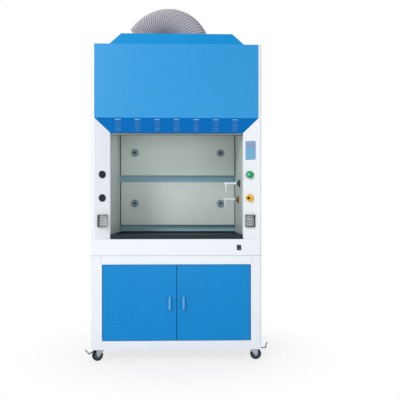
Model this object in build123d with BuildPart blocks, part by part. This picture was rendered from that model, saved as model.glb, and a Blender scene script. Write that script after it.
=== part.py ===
from build123d import *
import math
import os

os.makedirs("parts", exist_ok=True)

# Main sizes of the hood, in millimetres
BODY_WIDTH = 1200.0
BODY_DEPTH = 800.0
SKIRT_CLEARANCE = 86.0
BASE_HEIGHT = 662.0
APRON_HEIGHT = 115.0
WORKTOP_THICK = 30.0
OPENING_HEIGHT = 728.0
SLOPE_HEIGHT = 98.0
FASCIA_HEIGHT = 521.0
COVER_HEIGHT = 110.0
SHEET = 2.0
CORNER_RADIUS = 15.0
COLUMN_WIDTH = 21.0
BEVEL_WIDTH = 104.0
BEVEL_DEPTH = 60.0
LIP_DEPTH = 12.0
FLANGE = 20.0
CLEARANCE = 0.3
FIT = 0.05
END_PROUD = 28.0

# Heights and planes that follow from the main sizes
HALF = BODY_WIDTH / 2
FRONT = -BODY_DEPTH / 2
BACK = BODY_DEPTH / 2
BASE_TOP = SKIRT_CLEARANCE + BASE_HEIGHT
APRON_TOP = BASE_TOP + APRON_HEIGHT
WORKTOP_TOP = APRON_TOP + WORKTOP_THICK
SLOPE_LOW = WORKTOP_TOP + OPENING_HEIGHT
SLOPE_HIGH = SLOPE_LOW + SLOPE_HEIGHT
BODY_TOP = SLOPE_HIGH + FASCIA_HEIGHT
PANEL_HALF = HALF - COLUMN_WIDTH
OPENING_HALF = PANEL_HALF - BEVEL_WIDTH
OPENING_Y = FRONT + BEVEL_DEPTH
POST_BACK = OPENING_Y + LIP_DEPTH + SHEET
BEVEL_ANGLE = math.atan2(BEVEL_DEPTH, BEVEL_WIDTH)

# Work chamber
LINER = 5.0
BACK_LINER_Y = FRONT + 750.0
BAFFLE_Y = FRONT + 690.0
CEILING_Z = SLOPE_LOW + 69.0
BAFFLE_LOW = WORKTOP_TOP + 54.0
LOWER_BAFFLE_HEIGHT = 351.0
BAFFLE_SLOT = 57.0
KNOB_X = 354.0
KNOB_HEIGHTS = (WORKTOP_TOP + 231.0, WORKTOP_TOP + 648.0)
RIM_WIDTH = 28.0
RECESS_DEPTH = 13.0

# Sash
GLASS = 5.0
LEAF_HALF = OPENING_HALF + 30.0
LEAF_HEIGHT = 390.0
LOWER_LEAF_Y = OPENING_Y + 24.0
UPPER_LEAF_Y = OPENING_Y + 44.0
SLOT = GLASS + 1.0
GUIDE_BACK = UPPER_LEAF_Y + SLOT / 2 + 6.0
LINER_FRONT = GUIDE_BACK
SASH_PEEK = 12.0
PULLEY_RADIUS = 38.0
PULLEY_Z = BODY_TOP - 90.0
CABLE_X = LEAF_HALF - 5.0
CABLE_RADIUS = 1.2
SHAFT_Y = LOWER_LEAF_Y + PULLEY_RADIUS

# Exhaust
DUCT_X = 142.0
DUCT_BEND = 271.0
DUCT_RADIUS = 125.0
DUCT_ARC = 137.0
DUCT_TURN = 25.0
DUCT_PLEATS = 14
PLEAT_DEPTH = 6.0
DUCT_WALL = 1.5
CUFF_HEIGHT = 24.0
SPIGOT_RADIUS = DUCT_RADIUS - PLEAT_DEPTH - DUCT_WALL - CLEARANCE
FAN_RADIUS = 125.0
FAN_Z = BODY_TOP - 310.0
FAN_DEPTH = 190.0
FAN_X = DUCT_X - 100.0

# Casters
CASTER_X = 536.0
CASTER_Y = BACK - 62.0
WHEEL_RADIUS = 39.0
WHEEL_WIDTH = 24.0
TRAIL = 30.0
CASTER_HEIGHT = 106.0
PLATE_SIZE = 70.0
AXLE_RADIUS = 4.0


def save(part, name):
    """Label a finished piece and write it as its own STEP file."""
    part.label = name
    export_step(part, f"parts/{name}.step")


def block(xs, ys, zs, mode=Mode.ADD):
    """A box between two corners, given as (low, high) pairs."""
    middle = [(pair[0] + pair[1]) / 2 for pair in (xs, ys, zs)]
    size = [abs(pair[1] - pair[0]) for pair in (xs, ys, zs)]
    with Locations(tuple(middle)):
        Box(*size, mode=mode)


def tube_along(plane, radius, length, mode=Mode.ADD):
    """A round bar that starts on a plane and runs along its normal."""
    with BuildSketch(plane) as end:
        Circle(radius)
    extrude(end.sketch, amount=length, mode=mode)


def bevel_plane(side, height, rise=0.0):
    """The slanted inner face of a front post, its normal facing the user."""
    lean = Vector(-side * math.sin(BEVEL_ANGLE), -math.cos(BEVEL_ANGLE), 0)
    across = Vector(math.cos(BEVEL_ANGLE), -side * math.sin(BEVEL_ANGLE), 0)
    centre = Vector(side * (OPENING_HALF + BEVEL_WIDTH / 2), FRONT + BEVEL_DEPTH / 2, height)
    return Plane(origin=centre + lean * rise, x_dir=across, z_dir=lean)


# Base cabinet
DOOR_THICK = 18.0
DOOR_HALF = 525.0
DOOR_LOW = SKIRT_CLEARANCE + 62.0
DOOR_HIGH = BASE_TOP - 61.0
DOOR_GAP = 2.5
FRAME_DEPTH = 32.0
PIN_RADIUS = 4.0
PIN_X = DOOR_HALF - DOOR_GAP - DOOR_THICK / 2
PIN_Y = FRONT + DOOR_THICK / 2
PIN_REACH = 16.0
PIN_HEAD = 3.0


def front_shell(low, high, depth):
    """A full-width front pan with rounded vertical corners, open behind."""
    with BuildSketch(Plane.XY.offset(low)) as outside:
        with BuildLine():
            FilletPolyline((-HALF, FRONT + depth), (-HALF, FRONT), (HALF, FRONT),
                           (HALF, FRONT + depth), radius=CORNER_RADIUS)
            Line((HALF, FRONT + depth), (-HALF, FRONT + depth))
        make_face()
    extrude(outside.sketch, amount=high - low)
    with BuildSketch(Plane.XY.offset(low + SHEET)) as inside:
        with BuildLine():
            FilletPolyline((-HALF + SHEET, FRONT + depth), (-HALF + SHEET, FRONT + SHEET),
                           (HALF - SHEET, FRONT + SHEET), (HALF - SHEET, FRONT + depth),
                           radius=CORNER_RADIUS - SHEET)
            Line((HALF - SHEET, FRONT + depth), (-HALF + SHEET, FRONT + depth))
        make_face()
    extrude(inside.sketch, amount=high - low - 2 * SHEET, mode=Mode.SUBTRACT)


with BuildPart() as base_front_frame:
    front_shell(SKIRT_CLEARANCE, BASE_TOP, FRAME_DEPTH)
    block((-DOOR_HALF - SHEET, DOOR_HALF + SHEET), (FRONT, FRONT + FRAME_DEPTH),
          (DOOR_LOW - SHEET, DOOR_HIGH + SHEET))
    block((-DOOR_HALF, DOOR_HALF), (FRONT - SHEET, FRONT + FRAME_DEPTH + SHEET),
          (DOOR_LOW, DOOR_HIGH), mode=Mode.SUBTRACT)
    # the skirt is open below, so that the casters can swing
    block((-HALF + SHEET, HALF - SHEET), (FRONT + SHEET, FRONT + FRAME_DEPTH),
          (SKIRT_CLEARANCE, SKIRT_CLEARANCE + SHEET), mode=Mode.SUBTRACT)
    with Locations(*[(side * PIN_X, PIN_Y, level)
                     for side in (-1, 1) for level in (DOOR_LOW - SHEET / 2, DOOR_HIGH + SHEET / 2)]):
        Cylinder(PIN_RADIUS + FIT, SHEET * 2, mode=Mode.SUBTRACT)
save(base_front_frame.part, "base_front_frame")

with BuildPart() as base_wall_panels:
    for side in (-1, 1):
        block((side * HALF, side * (HALF - SHEET)), (FRONT + FRAME_DEPTH, BACK),
              (SKIRT_CLEARANCE, BASE_TOP))
    block((-HALF + SHEET, HALF - SHEET), (BACK - SHEET, BACK), (SKIRT_CLEARANCE, BASE_TOP))
    DRAIN_X = 365.0
    DRAIN_Z = BASE_TOP - 190.0
    DRAIN_RADIUS = 20.0
    with BuildSketch(Plane.XZ.offset(-BACK)):
        with Locations((DRAIN_X, DRAIN_Z)):
            Circle(DRAIN_RADIUS + CLEARANCE)
    extrude(amount=SHEET * 2, both=True, mode=Mode.SUBTRACT)
save(base_wall_panels.part, "base_wall_panels")

TRAY_LIP = 30.0
with BuildPart() as base_floor_tray:
    tray_front = FRONT + FRAME_DEPTH
    block((-HALF + SHEET, HALF - SHEET), (tray_front, BACK - SHEET),
          (CASTER_HEIGHT, CASTER_HEIGHT + TRAY_LIP))
    block((-HALF + 2 * SHEET, HALF - 2 * SHEET), (tray_front + SHEET, BACK - 2 * SHEET),
          (CASTER_HEIGHT + SHEET, CASTER_HEIGHT + TRAY_LIP), mode=Mode.SUBTRACT)
save(base_floor_tray.part, "base_floor_tray")


def cupboard_door(side):
    """A folded door leaf with a round hinge edge and a bush for each pivot pin."""
    inner = DOOR_GAP / 2 + 0.75
    outer = DOOR_HALF - DOOR_GAP
    low = DOOR_LOW + DOOR_GAP
    high = DOOR_HIGH - DOOR_GAP
    back = FRONT + DOOR_THICK
    round_x = outer - DOOR_THICK / 2
    lip = 17.0
    with BuildPart() as leaf:
        with BuildSketch(Plane.XY.offset(low)):
            with BuildLine():
                Polyline((side * round_x, FRONT), (side * inner, FRONT), (side * inner, back),
                         (side * round_x, back))
                ThreePointArc((side * round_x, back), (side * outer, FRONT + DOOR_THICK / 2),
                              (side * round_x, FRONT))
            make_face()
        extrude(amount=high - low)
        block((side * (inner + SHEET), side * (round_x - DOOR_THICK / 2)),
              (FRONT + SHEET, back - SHEET), (low + SHEET, high - SHEET), mode=Mode.SUBTRACT)
        block((side * (inner + lip), side * (round_x - lip)), (back - SHEET * 2, back + SHEET),
              (low + lip, high - lip), mode=Mode.SUBTRACT)
        front_rim = leaf.faces().filter_by(Axis.Y).sort_by(Axis.Y)[0].edges()
        fillet(front_rim.filter_by(Axis.X), 1.2)
        with Locations((side * PIN_X, PIN_Y, low + PIN_REACH / 2),
                       (side * PIN_X, PIN_Y, high - PIN_REACH / 2)):
            Cylinder(PIN_RADIUS + FIT, PIN_REACH + 1.0, mode=Mode.SUBTRACT)
    return leaf.part


save(cupboard_door(-1), "cupboard_door_left")
save(cupboard_door(1), "cupboard_door_right")

with BuildPart() as door_pivot_pins:
    for side in (-1, 1):
        for low, level in ((True, DOOR_LOW), (False, DOOR_HIGH)):
            way = 1 if low else -1
            outside = Plane(origin=(side * PIN_X, PIN_Y, level - way * (SHEET + PIN_HEAD)),
                            z_dir=(0, 0, way))
            tube_along(outside, PIN_RADIUS * 1.5, PIN_HEAD)
            tube_along(outside, PIN_RADIUS, PIN_HEAD + SHEET + DOOR_GAP + PIN_REACH - 1.0)
            tube_along(outside.offset(PIN_HEAD + SHEET), PIN_RADIUS * 1.5, DOOR_GAP - CLEARANCE)
save(door_pivot_pins.part, "door_pivot_pins")

HANDLE_X = 49.0
HANDLE_Z = SKIRT_CLEARANCE + 326.0
HANDLE_HEIGHT = 106.0
HANDLE_WIDTH = 15.0
HANDLE_BAR = 8.0


def door_handle(side):
    """An arched bar handle standing on two feet."""
    half = HANDLE_HEIGHT / 2
    with BuildPart() as handle:
        with BuildSketch(Plane.YZ.offset(side * HANDLE_X - HANDLE_WIDTH / 2)):
            with BuildLine():
                FilletPolyline((FRONT, HANDLE_Z - half), (FRONT - END_PROUD, HANDLE_Z - half + 10),
                               (FRONT - END_PROUD, HANDLE_Z + half - 10), (FRONT, HANDLE_Z + half),
                               radius=14)
                Line((FRONT, HANDLE_Z + half), (FRONT, HANDLE_Z + half - HANDLE_BAR * 1.6))
                FilletPolyline((FRONT, HANDLE_Z + half - HANDLE_BAR * 1.6),
                               (FRONT - END_PROUD + HANDLE_BAR, HANDLE_Z + half - 10 - HANDLE_BAR),
                               (FRONT - END_PROUD + HANDLE_BAR, HANDLE_Z - half + 10 + HANDLE_BAR),
                               (FRONT, HANDLE_Z - half + HANDLE_BAR * 1.6), radius=7)
                Line((FRONT, HANDLE_Z - half + HANDLE_BAR * 1.6), (FRONT, HANDLE_Z - half))
            make_face()
        extrude(amount=HANDLE_WIDTH)
        fillet(handle.edges().group_by(Axis.Y)[0], 2.5)
    return handle.part


save(door_handle(-1), "door_handle_left")
save(door_handle(1), "door_handle_right")

# Casters: a fixed plate, a swivelling fork, a wheel and a foot brake at each corner
CASTER_SPOTS = {
    "front_right": (CASTER_X, -CASTER_Y, 0.0),
    "front_left": (-CASTER_X, -CASTER_Y, 210.0),
    "rear_right": (CASTER_X, CASTER_Y, 30.0),
    "rear_left": (-CASTER_X, CASTER_Y, 180.0),
}
PLATE = 3.0
RACE_RADIUS = 22.0
RACE_LOW = CASTER_HEIGHT - PLATE - 9.0
CROWN = 3.0
CROWN_TOP = RACE_LOW - CLEARANCE
CROWN_LOW = CROWN_TOP - CROWN
CROWN_RADIUS = 30.0
FORK_GAP = WHEEL_WIDTH + 3.0
LEG = 3.0
KINGPIN = 5.0
BRAKE_PIVOT_X = 38.0
BRAKE_PIVOT_Z = 84.0
BRAKE_PIN = 2.5
BRAKE_ANGLE = 25.0
PEDAL_LEVEL = 83.0
PEDAL_THICK = 4.0
PEDAL_REACH = 116.0
PEDAL_RISE = 100.0
PEDAL_TOP = 118.0
PEDAL_NECK = 58.0
TIP_WIDTH = 12.0
BRAKED = ("front_left", "rear_right")

with BuildPart() as caster_plates:
    for x, y, turn in CASTER_SPOTS.values():
        with BuildSketch(Plane.XY.offset(CASTER_HEIGHT - PLATE)):
            with Locations((x, y)):
                RectangleRounded(PLATE_SIZE, PLATE_SIZE, 5.0)
                with GridLocations(PLATE_SIZE - 18, PLATE_SIZE - 18, 2, 2):
                    Circle(4.2, mode=Mode.SUBTRACT)
        extrude(amount=PLATE)
        with BuildSketch(Plane.XY.offset(RACE_LOW)):
            with Locations((x, y)):
                Circle(RACE_RADIUS)
        extrude(amount=CASTER_HEIGHT - PLATE - RACE_LOW)
        with BuildSketch(Plane.XY.offset(CROWN_LOW - CLEARANCE)):
            with Locations((x, y)):
                Circle(KINGPIN)
        extrude(amount=RACE_LOW - CROWN_LOW + CLEARANCE)
        with BuildSketch(Plane.XY.offset(CROWN_LOW - CLEARANCE - 4.0)):
            with Locations((x, y)):
                RegularPolygon(9.0, 6)
        extrude(amount=4.0)
save(caster_plates.part, "caster_plates")


def caster_frame(spot):
    """The upright frame of one caster, its local x along the trail."""
    x, y, turn = spot
    return Location((x, y, 0), (0, 0, turn))


def caster_fork(spot):
    """A pressed fork with two tapered cheeks, and the axle bolt across them."""
    place = caster_frame(spot)
    with BuildPart() as fork:
        with BuildSketch(Plane.XY.offset(CROWN_LOW)):
            Circle(CROWN_RADIUS)
            with Locations((CROWN_RADIUS / 2, 0)):
                Rectangle(CROWN_RADIUS, FORK_GAP + 2 * LEG)
            Circle(KINGPIN + FIT, mode=Mode.SUBTRACT)
        extrude(amount=CROWN)
        for way in (-1, 1):
            start = way * FORK_GAP / 2
            with BuildSketch(Plane.XZ.offset(-start)):
                with BuildLine():
                    Polyline((-24.0, CROWN_LOW + CROWN), (36.0, CROWN_LOW + CROWN),
                             (BRAKE_PIVOT_X + 8, BRAKE_PIVOT_Z + 2),
                             (BRAKE_PIVOT_X + 8, BRAKE_PIVOT_Z - 6), (TRAIL + 11, WHEEL_RADIUS),
                             (TRAIL + 6, WHEEL_RADIUS - 9), (TRAIL - 6, WHEEL_RADIUS - 9),
                             (TRAIL - 12, WHEEL_RADIUS), (-24.0, CROWN_LOW - 6),
                             (-24.0, CROWN_LOW + CROWN))
                make_face()
                with Locations((BRAKE_PIVOT_X, BRAKE_PIVOT_Z)):
                    Circle(BRAKE_PIN + FIT, mode=Mode.SUBTRACT)
            extrude(amount=-way * LEG)
        with BuildSketch(Plane.XZ.offset(-FORK_GAP / 2 - LEG - 3)):
            with Locations((TRAIL, WHEEL_RADIUS)):
                Circle(AXLE_RADIUS)
        extrude(amount=FORK_GAP + 2 * LEG + 6)
        for way in (-1, 1):
            with BuildSketch(Plane.XZ.offset(-way * (FORK_GAP / 2 + LEG))):
                with Locations((TRAIL, WHEEL_RADIUS)):
                    RegularPolygon(7.0, 6)
            extrude(amount=-way * 4.0)
    return place * fork.part


def caster_wheel(spot):
    """A rubber-tyred wheel, turned from one section."""
    place = caster_frame(spot)
    half = WHEEL_WIDTH / 2
    hub = 12.0
    web = 5.0
    rim = WHEEL_RADIUS - 11.0
    with BuildPart() as wheel:
        with BuildSketch(Plane.YZ.offset(TRAIL)):
            with BuildLine():
                Polyline((half + 1, WHEEL_RADIUS + AXLE_RADIUS + FIT),
                         (half + 1, WHEEL_RADIUS + hub), (web, WHEEL_RADIUS + hub + 2),
                         (web, WHEEL_RADIUS + rim - 3), (half - 2, WHEEL_RADIUS + rim),
                         (half, WHEEL_RADIUS + WHEEL_RADIUS - 5))
                ThreePointArc((half, 2 * WHEEL_RADIUS - 5), (0, 2 * WHEEL_RADIUS),
                              (-half, 2 * WHEEL_RADIUS - 5))
                Polyline((-half, 2 * WHEEL_RADIUS - 5), (-half + 2, WHEEL_RADIUS + rim),
                         (-web, WHEEL_RADIUS + rim - 3), (-web, WHEEL_RADIUS + hub + 2),
                         (-half - 1, WHEEL_RADIUS + hub),
                         (-half - 1, WHEEL_RADIUS + AXLE_RADIUS + FIT),
                         (half + 1, WHEEL_RADIUS + AXLE_RADIUS + FIT))
            make_face()
        revolve(axis=Axis((TRAIL, 0, WHEEL_RADIUS), (0, 1, 0)))
    return place * wheel.part


def caster_brake(spot, pressed):
    """A pressed foot pedal that pivots between the fork's cheeks."""
    place = caster_frame(spot)
    width = FORK_GAP - 2 * CLEARANCE
    low = PEDAL_LEVEL - PEDAL_THICK
    with BuildPart() as brake:
        with BuildSketch(Plane.XZ.offset(-width / 2)):
            with BuildLine():
                Polyline((BRAKE_PIVOT_X - 5, BRAKE_PIVOT_Z + 3), (BRAKE_PIVOT_X + 8, BRAKE_PIVOT_Z + 3),
                         (BRAKE_PIVOT_X + 22, PEDAL_LEVEL), (PEDAL_RISE - 2, PEDAL_LEVEL),
                         (PEDAL_REACH - 9, PEDAL_TOP), (PEDAL_REACH, PEDAL_TOP),
                         (PEDAL_REACH, PEDAL_TOP - PEDAL_THICK),
                         (PEDAL_REACH - 6, PEDAL_TOP - PEDAL_THICK), (PEDAL_RISE + 3, low),
                         (BRAKE_PIVOT_X + 20, low), (BRAKE_PIVOT_X + 6, BRAKE_PIVOT_Z - 3),
                         (BRAKE_PIVOT_X - 5, BRAKE_PIVOT_Z - 3),
                         (BRAKE_PIVOT_X - 5, BRAKE_PIVOT_Z + 3))
            make_face()
        extrude(amount=width)
        # the outer half is a narrow tongue, which swings past the skirt's corner
        for side in (-1, 1):
            block((PEDAL_NECK, PEDAL_REACH + 1), (side * TIP_WIDTH / 2, side * width),
                  (0, PEDAL_TOP + 1), mode=Mode.SUBTRACT)
        with BuildSketch(Plane.XZ.offset(-width / 2 - LEG - 2)):
            with Locations((BRAKE_PIVOT_X, BRAKE_PIVOT_Z)):
                Circle(BRAKE_PIN)
        extrude(amount=width + 2 * LEG + 4)
    lowered = brake.part
    if pressed:
        lowered = lowered.rotate(Axis((BRAKE_PIVOT_X, 0, BRAKE_PIVOT_Z), (0, 1, 0)), BRAKE_ANGLE)
    return place * lowered


for corner, spot in CASTER_SPOTS.items():
    save(caster_fork(spot), f"caster_fork_{corner}")
    save(caster_wheel(spot), f"caster_wheel_{corner}")
    save(caster_brake(spot, corner in BRAKED), f"caster_brake_{corner}")

# Apron under the worktop, with the frame that carries the worktop
SWITCH_X = 440.0
SWITCH_Z = BASE_TOP + 57.0
SWITCH_WIDTH = 30.0
SWITCH_HEIGHT = 37.0
BEARER = 40.0

with BuildPart() as apron:
    front_shell(BASE_TOP, APRON_TOP, POST_BACK - FRONT)
    block((-OPENING_HALF, OPENING_HALF), (POST_BACK - SHEET, BACK_LINER_Y),
          (BASE_TOP, APRON_TOP))
    block((-OPENING_HALF + SHEET, OPENING_HALF - SHEET), (FRONT + SHEET, BACK_LINER_Y - SHEET),
          (BASE_TOP + SHEET, APRON_TOP - SHEET), mode=Mode.SUBTRACT)
    block((-OPENING_HALF + BEARER, OPENING_HALF - BEARER), (FRONT + SHEET, BACK_LINER_Y - BEARER),
          (BASE_TOP - SHEET, APRON_TOP - SHEET), mode=Mode.SUBTRACT)
    block((-OPENING_HALF + BEARER, OPENING_HALF - BEARER), (OPENING_Y + BEARER, BACK_LINER_Y - BEARER),
          (APRON_TOP - 2 * SHEET, APRON_TOP + SHEET), mode=Mode.SUBTRACT)
    block((SWITCH_X - SWITCH_WIDTH / 2 + 3, SWITCH_X + SWITCH_WIDTH / 2 - 3),
          (FRONT - SHEET, FRONT + 2 * SHEET),
          (SWITCH_Z - SWITCH_HEIGHT / 2 + 3, SWITCH_Z + SWITCH_HEIGHT / 2 - 3), mode=Mode.SUBTRACT)
save(apron.part, "apron")

ROCKER_TILT = 7.0
ROCKER_HALF = 13.2
ROCKER_PIVOT_Y = FRONT - 1.0

with BuildPart() as switch_housing:
    half_w = SWITCH_WIDTH / 2
    half_h = SWITCH_HEIGHT / 2
    block((SWITCH_X - half_w, SWITCH_X + half_w), (FRONT - 3.0, FRONT),
          (SWITCH_Z - half_h, SWITCH_Z + half_h))
    fillet(switch_housing.edges().filter_by(Axis.Y), 2.5)
    block((SWITCH_X - half_w + 3, SWITCH_X + half_w - 3), (FRONT, FRONT + 22.0),
          (SWITCH_Z - half_h + 3, SWITCH_Z + half_h - 3))
    block((SWITCH_X - half_w + 4.2, SWITCH_X + half_w - 4.2), (FRONT - 5.0, FRONT + 9.0),
          (SWITCH_Z - ROCKER_HALF - 1.2, SWITCH_Z + ROCKER_HALF + 1.2), mode=Mode.SUBTRACT)
    with Locations((SWITCH_X, ROCKER_PIVOT_Y, SWITCH_Z)):
        Cylinder(1.5, SWITCH_WIDTH - 7.0, rotation=(0, 90, 0))
save(switch_housing.part, "switch_housing")

with BuildPart() as switch_rocker:
    wide = SWITCH_WIDTH - 9.4
    tilted = Plane(origin=(SWITCH_X - wide / 2, ROCKER_PIVOT_Y, SWITCH_Z),
                   x_dir=(0, math.cos(math.radians(ROCKER_TILT)), math.sin(math.radians(ROCKER_TILT))),
                   z_dir=(1, 0, 0))
    with BuildSketch(tilted):
        with BuildLine():
            Polyline((-3.0, 0), (-4.6, -ROCKER_HALF), (0.5, -ROCKER_HALF), (4.5, 0),
                     (0.5, ROCKER_HALF), (-4.6, ROCKER_HALF), (-3.0, 0))
        make_face()
        Circle(1.5 + FIT, mode=Mode.SUBTRACT)
    extrude(amount=wide)
save(switch_rocker.part, "switch_rocker")


def corner_post(side):
    """A folded post: the round outer corner, a flat strip, the bevel and a lip."""
    outline = [(side * HALF, POST_BACK), (side * HALF, FRONT), (side * PANEL_HALF, FRONT),
               (side * OPENING_HALF, OPENING_Y), (side * OPENING_HALF, OPENING_Y + LIP_DEPTH)]
    column = [(side * HALF, POST_BACK), (side * HALF, FRONT), (side * PANEL_HALF, FRONT),
              (side * PANEL_HALF, POST_BACK)]
    inset = [(side * (HALF - SHEET), POST_BACK), (side * (HALF - SHEET), FRONT + SHEET),
             (side * (PANEL_HALF + SHEET / 2), FRONT + SHEET),
             (side * (OPENING_HALF + SHEET), OPENING_Y + SHEET * 0.73),
             (side * (OPENING_HALF + SHEET), POST_BACK - SHEET),
             (side * (OPENING_HALF + FLANGE), POST_BACK - SHEET),
             (side * (OPENING_HALF + FLANGE), POST_BACK)]
    with BuildPart() as post:
        with BuildSketch(Plane.XY.offset(APRON_TOP)):
            with BuildLine():
                FilletPolyline(*outline, radius=(CORNER_RADIUS, 1.0, 1.0))
                Polyline(outline[-1], (side * OPENING_HALF, POST_BACK), outline[0])
            make_face()
        extrude(amount=SLOPE_HIGH - APRON_TOP)
        with BuildSketch(Plane.XY.offset(APRON_TOP + SHEET)):
            with BuildLine():
                FilletPolyline(*inset, radius=(CORNER_RADIUS - SHEET, 0.6, 0.6, 0.3, 0.3))
                Line(inset[-1], inset[0])
            make_face()
        extrude(amount=SLOPE_HIGH - APRON_TOP, mode=Mode.SUBTRACT)
        # mitre against the sloped panel over the opening
        with BuildSketch(Plane.YZ.offset(side * PANEL_HALF)):
            with BuildLine():
                Polyline((FRONT, SLOPE_HIGH), (OPENING_Y, SLOPE_LOW),
                         (POST_BACK + 5, SLOPE_LOW), (POST_BACK + 5, SLOPE_HIGH + 5),
                         (FRONT, SLOPE_HIGH + 5), (FRONT, SLOPE_HIGH))
            make_face()
        extrude(amount=-side * (BEVEL_WIDTH + 20), mode=Mode.SUBTRACT)
        with BuildSketch(Plane.XY.offset(SLOPE_LOW)):
            with BuildLine():
                FilletPolyline(*column, radius=(CORNER_RADIUS, 1.0))
                Line(column[-1], column[0])
            make_face()
        extrude(amount=BODY_TOP - SLOPE_LOW)
        with BuildSketch(Plane.XY.offset(SLOPE_LOW - SHEET)):
            with BuildLine():
                FilletPolyline((side * (HALF - SHEET), POST_BACK),
                               (side * (HALF - SHEET), FRONT + SHEET),
                               (side * (PANEL_HALF + SHEET), FRONT + SHEET),
                               (side * (PANEL_HALF + SHEET), POST_BACK),
                               radius=(CORNER_RADIUS - SHEET, 0.6))
                Line((side * (PANEL_HALF + SHEET), POST_BACK), (side * (HALF - SHEET), POST_BACK))
            make_face()
        extrude(amount=BODY_TOP - SLOPE_LOW, mode=Mode.SUBTRACT)
        # holes for the plug or valve stems
        if side > 0:
            for level in VALVE_HEIGHTS:
                tube_along(bevel_plane(side, level, rise=-20), STEM_RADIUS + FIT, 40,
                           mode=Mode.SUBTRACT)
        else:
            for level in VALVE_HEIGHTS:
                tube_along(bevel_plane(side, level, rise=-20), PLUG_SHANK, 40,
                           mode=Mode.SUBTRACT)
    return post.part


# Fittings on the bevelled posts
VALVE_HEIGHTS = (WORKTOP_TOP + 262.0, WORKTOP_TOP + 428.0)
STEM_RADIUS = 4.0
PLUG_RADIUS = 24.0
PLUG_SHANK = 19.0
KNOB_RADIUS = 22.0
KNOB_LENGTH = 34.0
KNOB_FLANGE = 3.0

save(corner_post(-1), "corner_post_left")
save(corner_post(1), "corner_post_right")

with BuildPart() as hole_plugs:
    for level in VALVE_HEIGHTS:
        with BuildSketch(bevel_plane(-1, level)):
            Circle(PLUG_RADIUS)
        extrude(amount=4.0)
        with BuildSketch(bevel_plane(-1, level)):
            Circle(PLUG_SHANK - CLEARANCE)
            Circle(PLUG_SHANK - 3, mode=Mode.SUBTRACT)
        extrude(amount=-10.0)
    fillet(hole_plugs.edges().filter_by(GeomType.CIRCLE)
           .filter_by(lambda edge: abs(edge.radius - PLUG_RADIUS) < 0.1)
           .sort_by(Axis.Y)[0:2], 1.5)
save(hole_plugs.part, "hole_plugs")


def valve_knob(level):
    """A fluted valve knob on its stem."""
    with BuildPart() as knob:
        with BuildSketch(bevel_plane(1, level, KNOB_FLANGE)):
            Circle(KNOB_RADIUS)
            with PolarLocations(KNOB_RADIUS + 3.0, 8):
                Circle(6.0, mode=Mode.SUBTRACT)
        extrude(amount=KNOB_LENGTH - 6)
        with BuildSketch(bevel_plane(1, level, KNOB_FLANGE + KNOB_LENGTH - 6)):
            Circle(KNOB_RADIUS - 4.5)
        extrude(amount=6.0, taper=35)
        with BuildSketch(bevel_plane(1, level, CLEARANCE)):
            Circle(KNOB_RADIUS + 3)
        extrude(amount=KNOB_FLANGE - CLEARANCE)
        tube_along(bevel_plane(1, level, -18.0), STEM_RADIUS, 20.0)
    return knob.part


save(valve_knob(VALVE_HEIGHTS[1]), "valve_knob_gas")
save(valve_knob(VALVE_HEIGHTS[0]), "valve_knob_water")

PANEL_Z = WORKTOP_TOP + 601.5
with BuildPart() as control_panel:
    with BuildSketch(bevel_plane(1, PANEL_Z)):
        RectangleRounded(75.0, 131.0, 4.0)
    extrude(amount=6.0)
    with BuildSketch(bevel_plane(1, PANEL_Z, 5.0)):
        with Locations((0, 38.0)):
            RectangleRounded(56.0, 34.0, 2.0)
    extrude(amount=1.0, mode=Mode.SUBTRACT)
    with BuildSketch(bevel_plane(1, PANEL_Z, 6.0)):
        with Locations((0, -22.0)):
            with GridLocations(20.0, 19.0, 3, 4):
                RectangleRounded(15.0, 12.0, 2.0)
    extrude(amount=0.8)
save(control_panel.part, "control_panel")

SOCKET_Z = WORKTOP_TOP + 100.0
SOCKET_WIDTH = 73.0
SOCKET_HEIGHT = 88.0
SOCKET_BASE = 14.0
LID_RADIUS = 3.0
LID_PIN = 1.5
LID_HINGE = SOCKET_HEIGHT / 2 - 5.0
LID_HINGE_RISE = SOCKET_BASE + 4.0

with BuildPart() as socket_boxes:
    for side in (-1, 1):
        with BuildSketch(bevel_plane(side, SOCKET_Z)):
            RectangleRounded(SOCKET_WIDTH, SOCKET_HEIGHT, 5.0)
        extrude(amount=SOCKET_BASE)
        with BuildSketch(bevel_plane(side, SOCKET_Z, SOCKET_BASE - 4)):
            with Locations((0, 12), (-12, -12), (12, -12)):
                SlotOverall(13.0, 6.0)
        extrude(amount=4.0, mode=Mode.SUBTRACT)
        # two ears that hold the lid's hinge pin
        for way in (-1, 1):
            plane = bevel_plane(side, SOCKET_Z, SOCKET_BASE)
            with BuildSketch(plane):
                with Locations((way * 32.0, LID_HINGE)):
                    Rectangle(6.0, 8.0)
            extrude(amount=8.0)
        pin_plane = bevel_plane(side, SOCKET_Z, LID_HINGE_RISE)
        start = pin_plane.from_local_coords((-34.0, LID_HINGE, 0))
        tube_along(Plane(origin=start, z_dir=pin_plane.x_dir), LID_PIN, 68.0)
save(socket_boxes.part, "socket_boxes")


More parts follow.
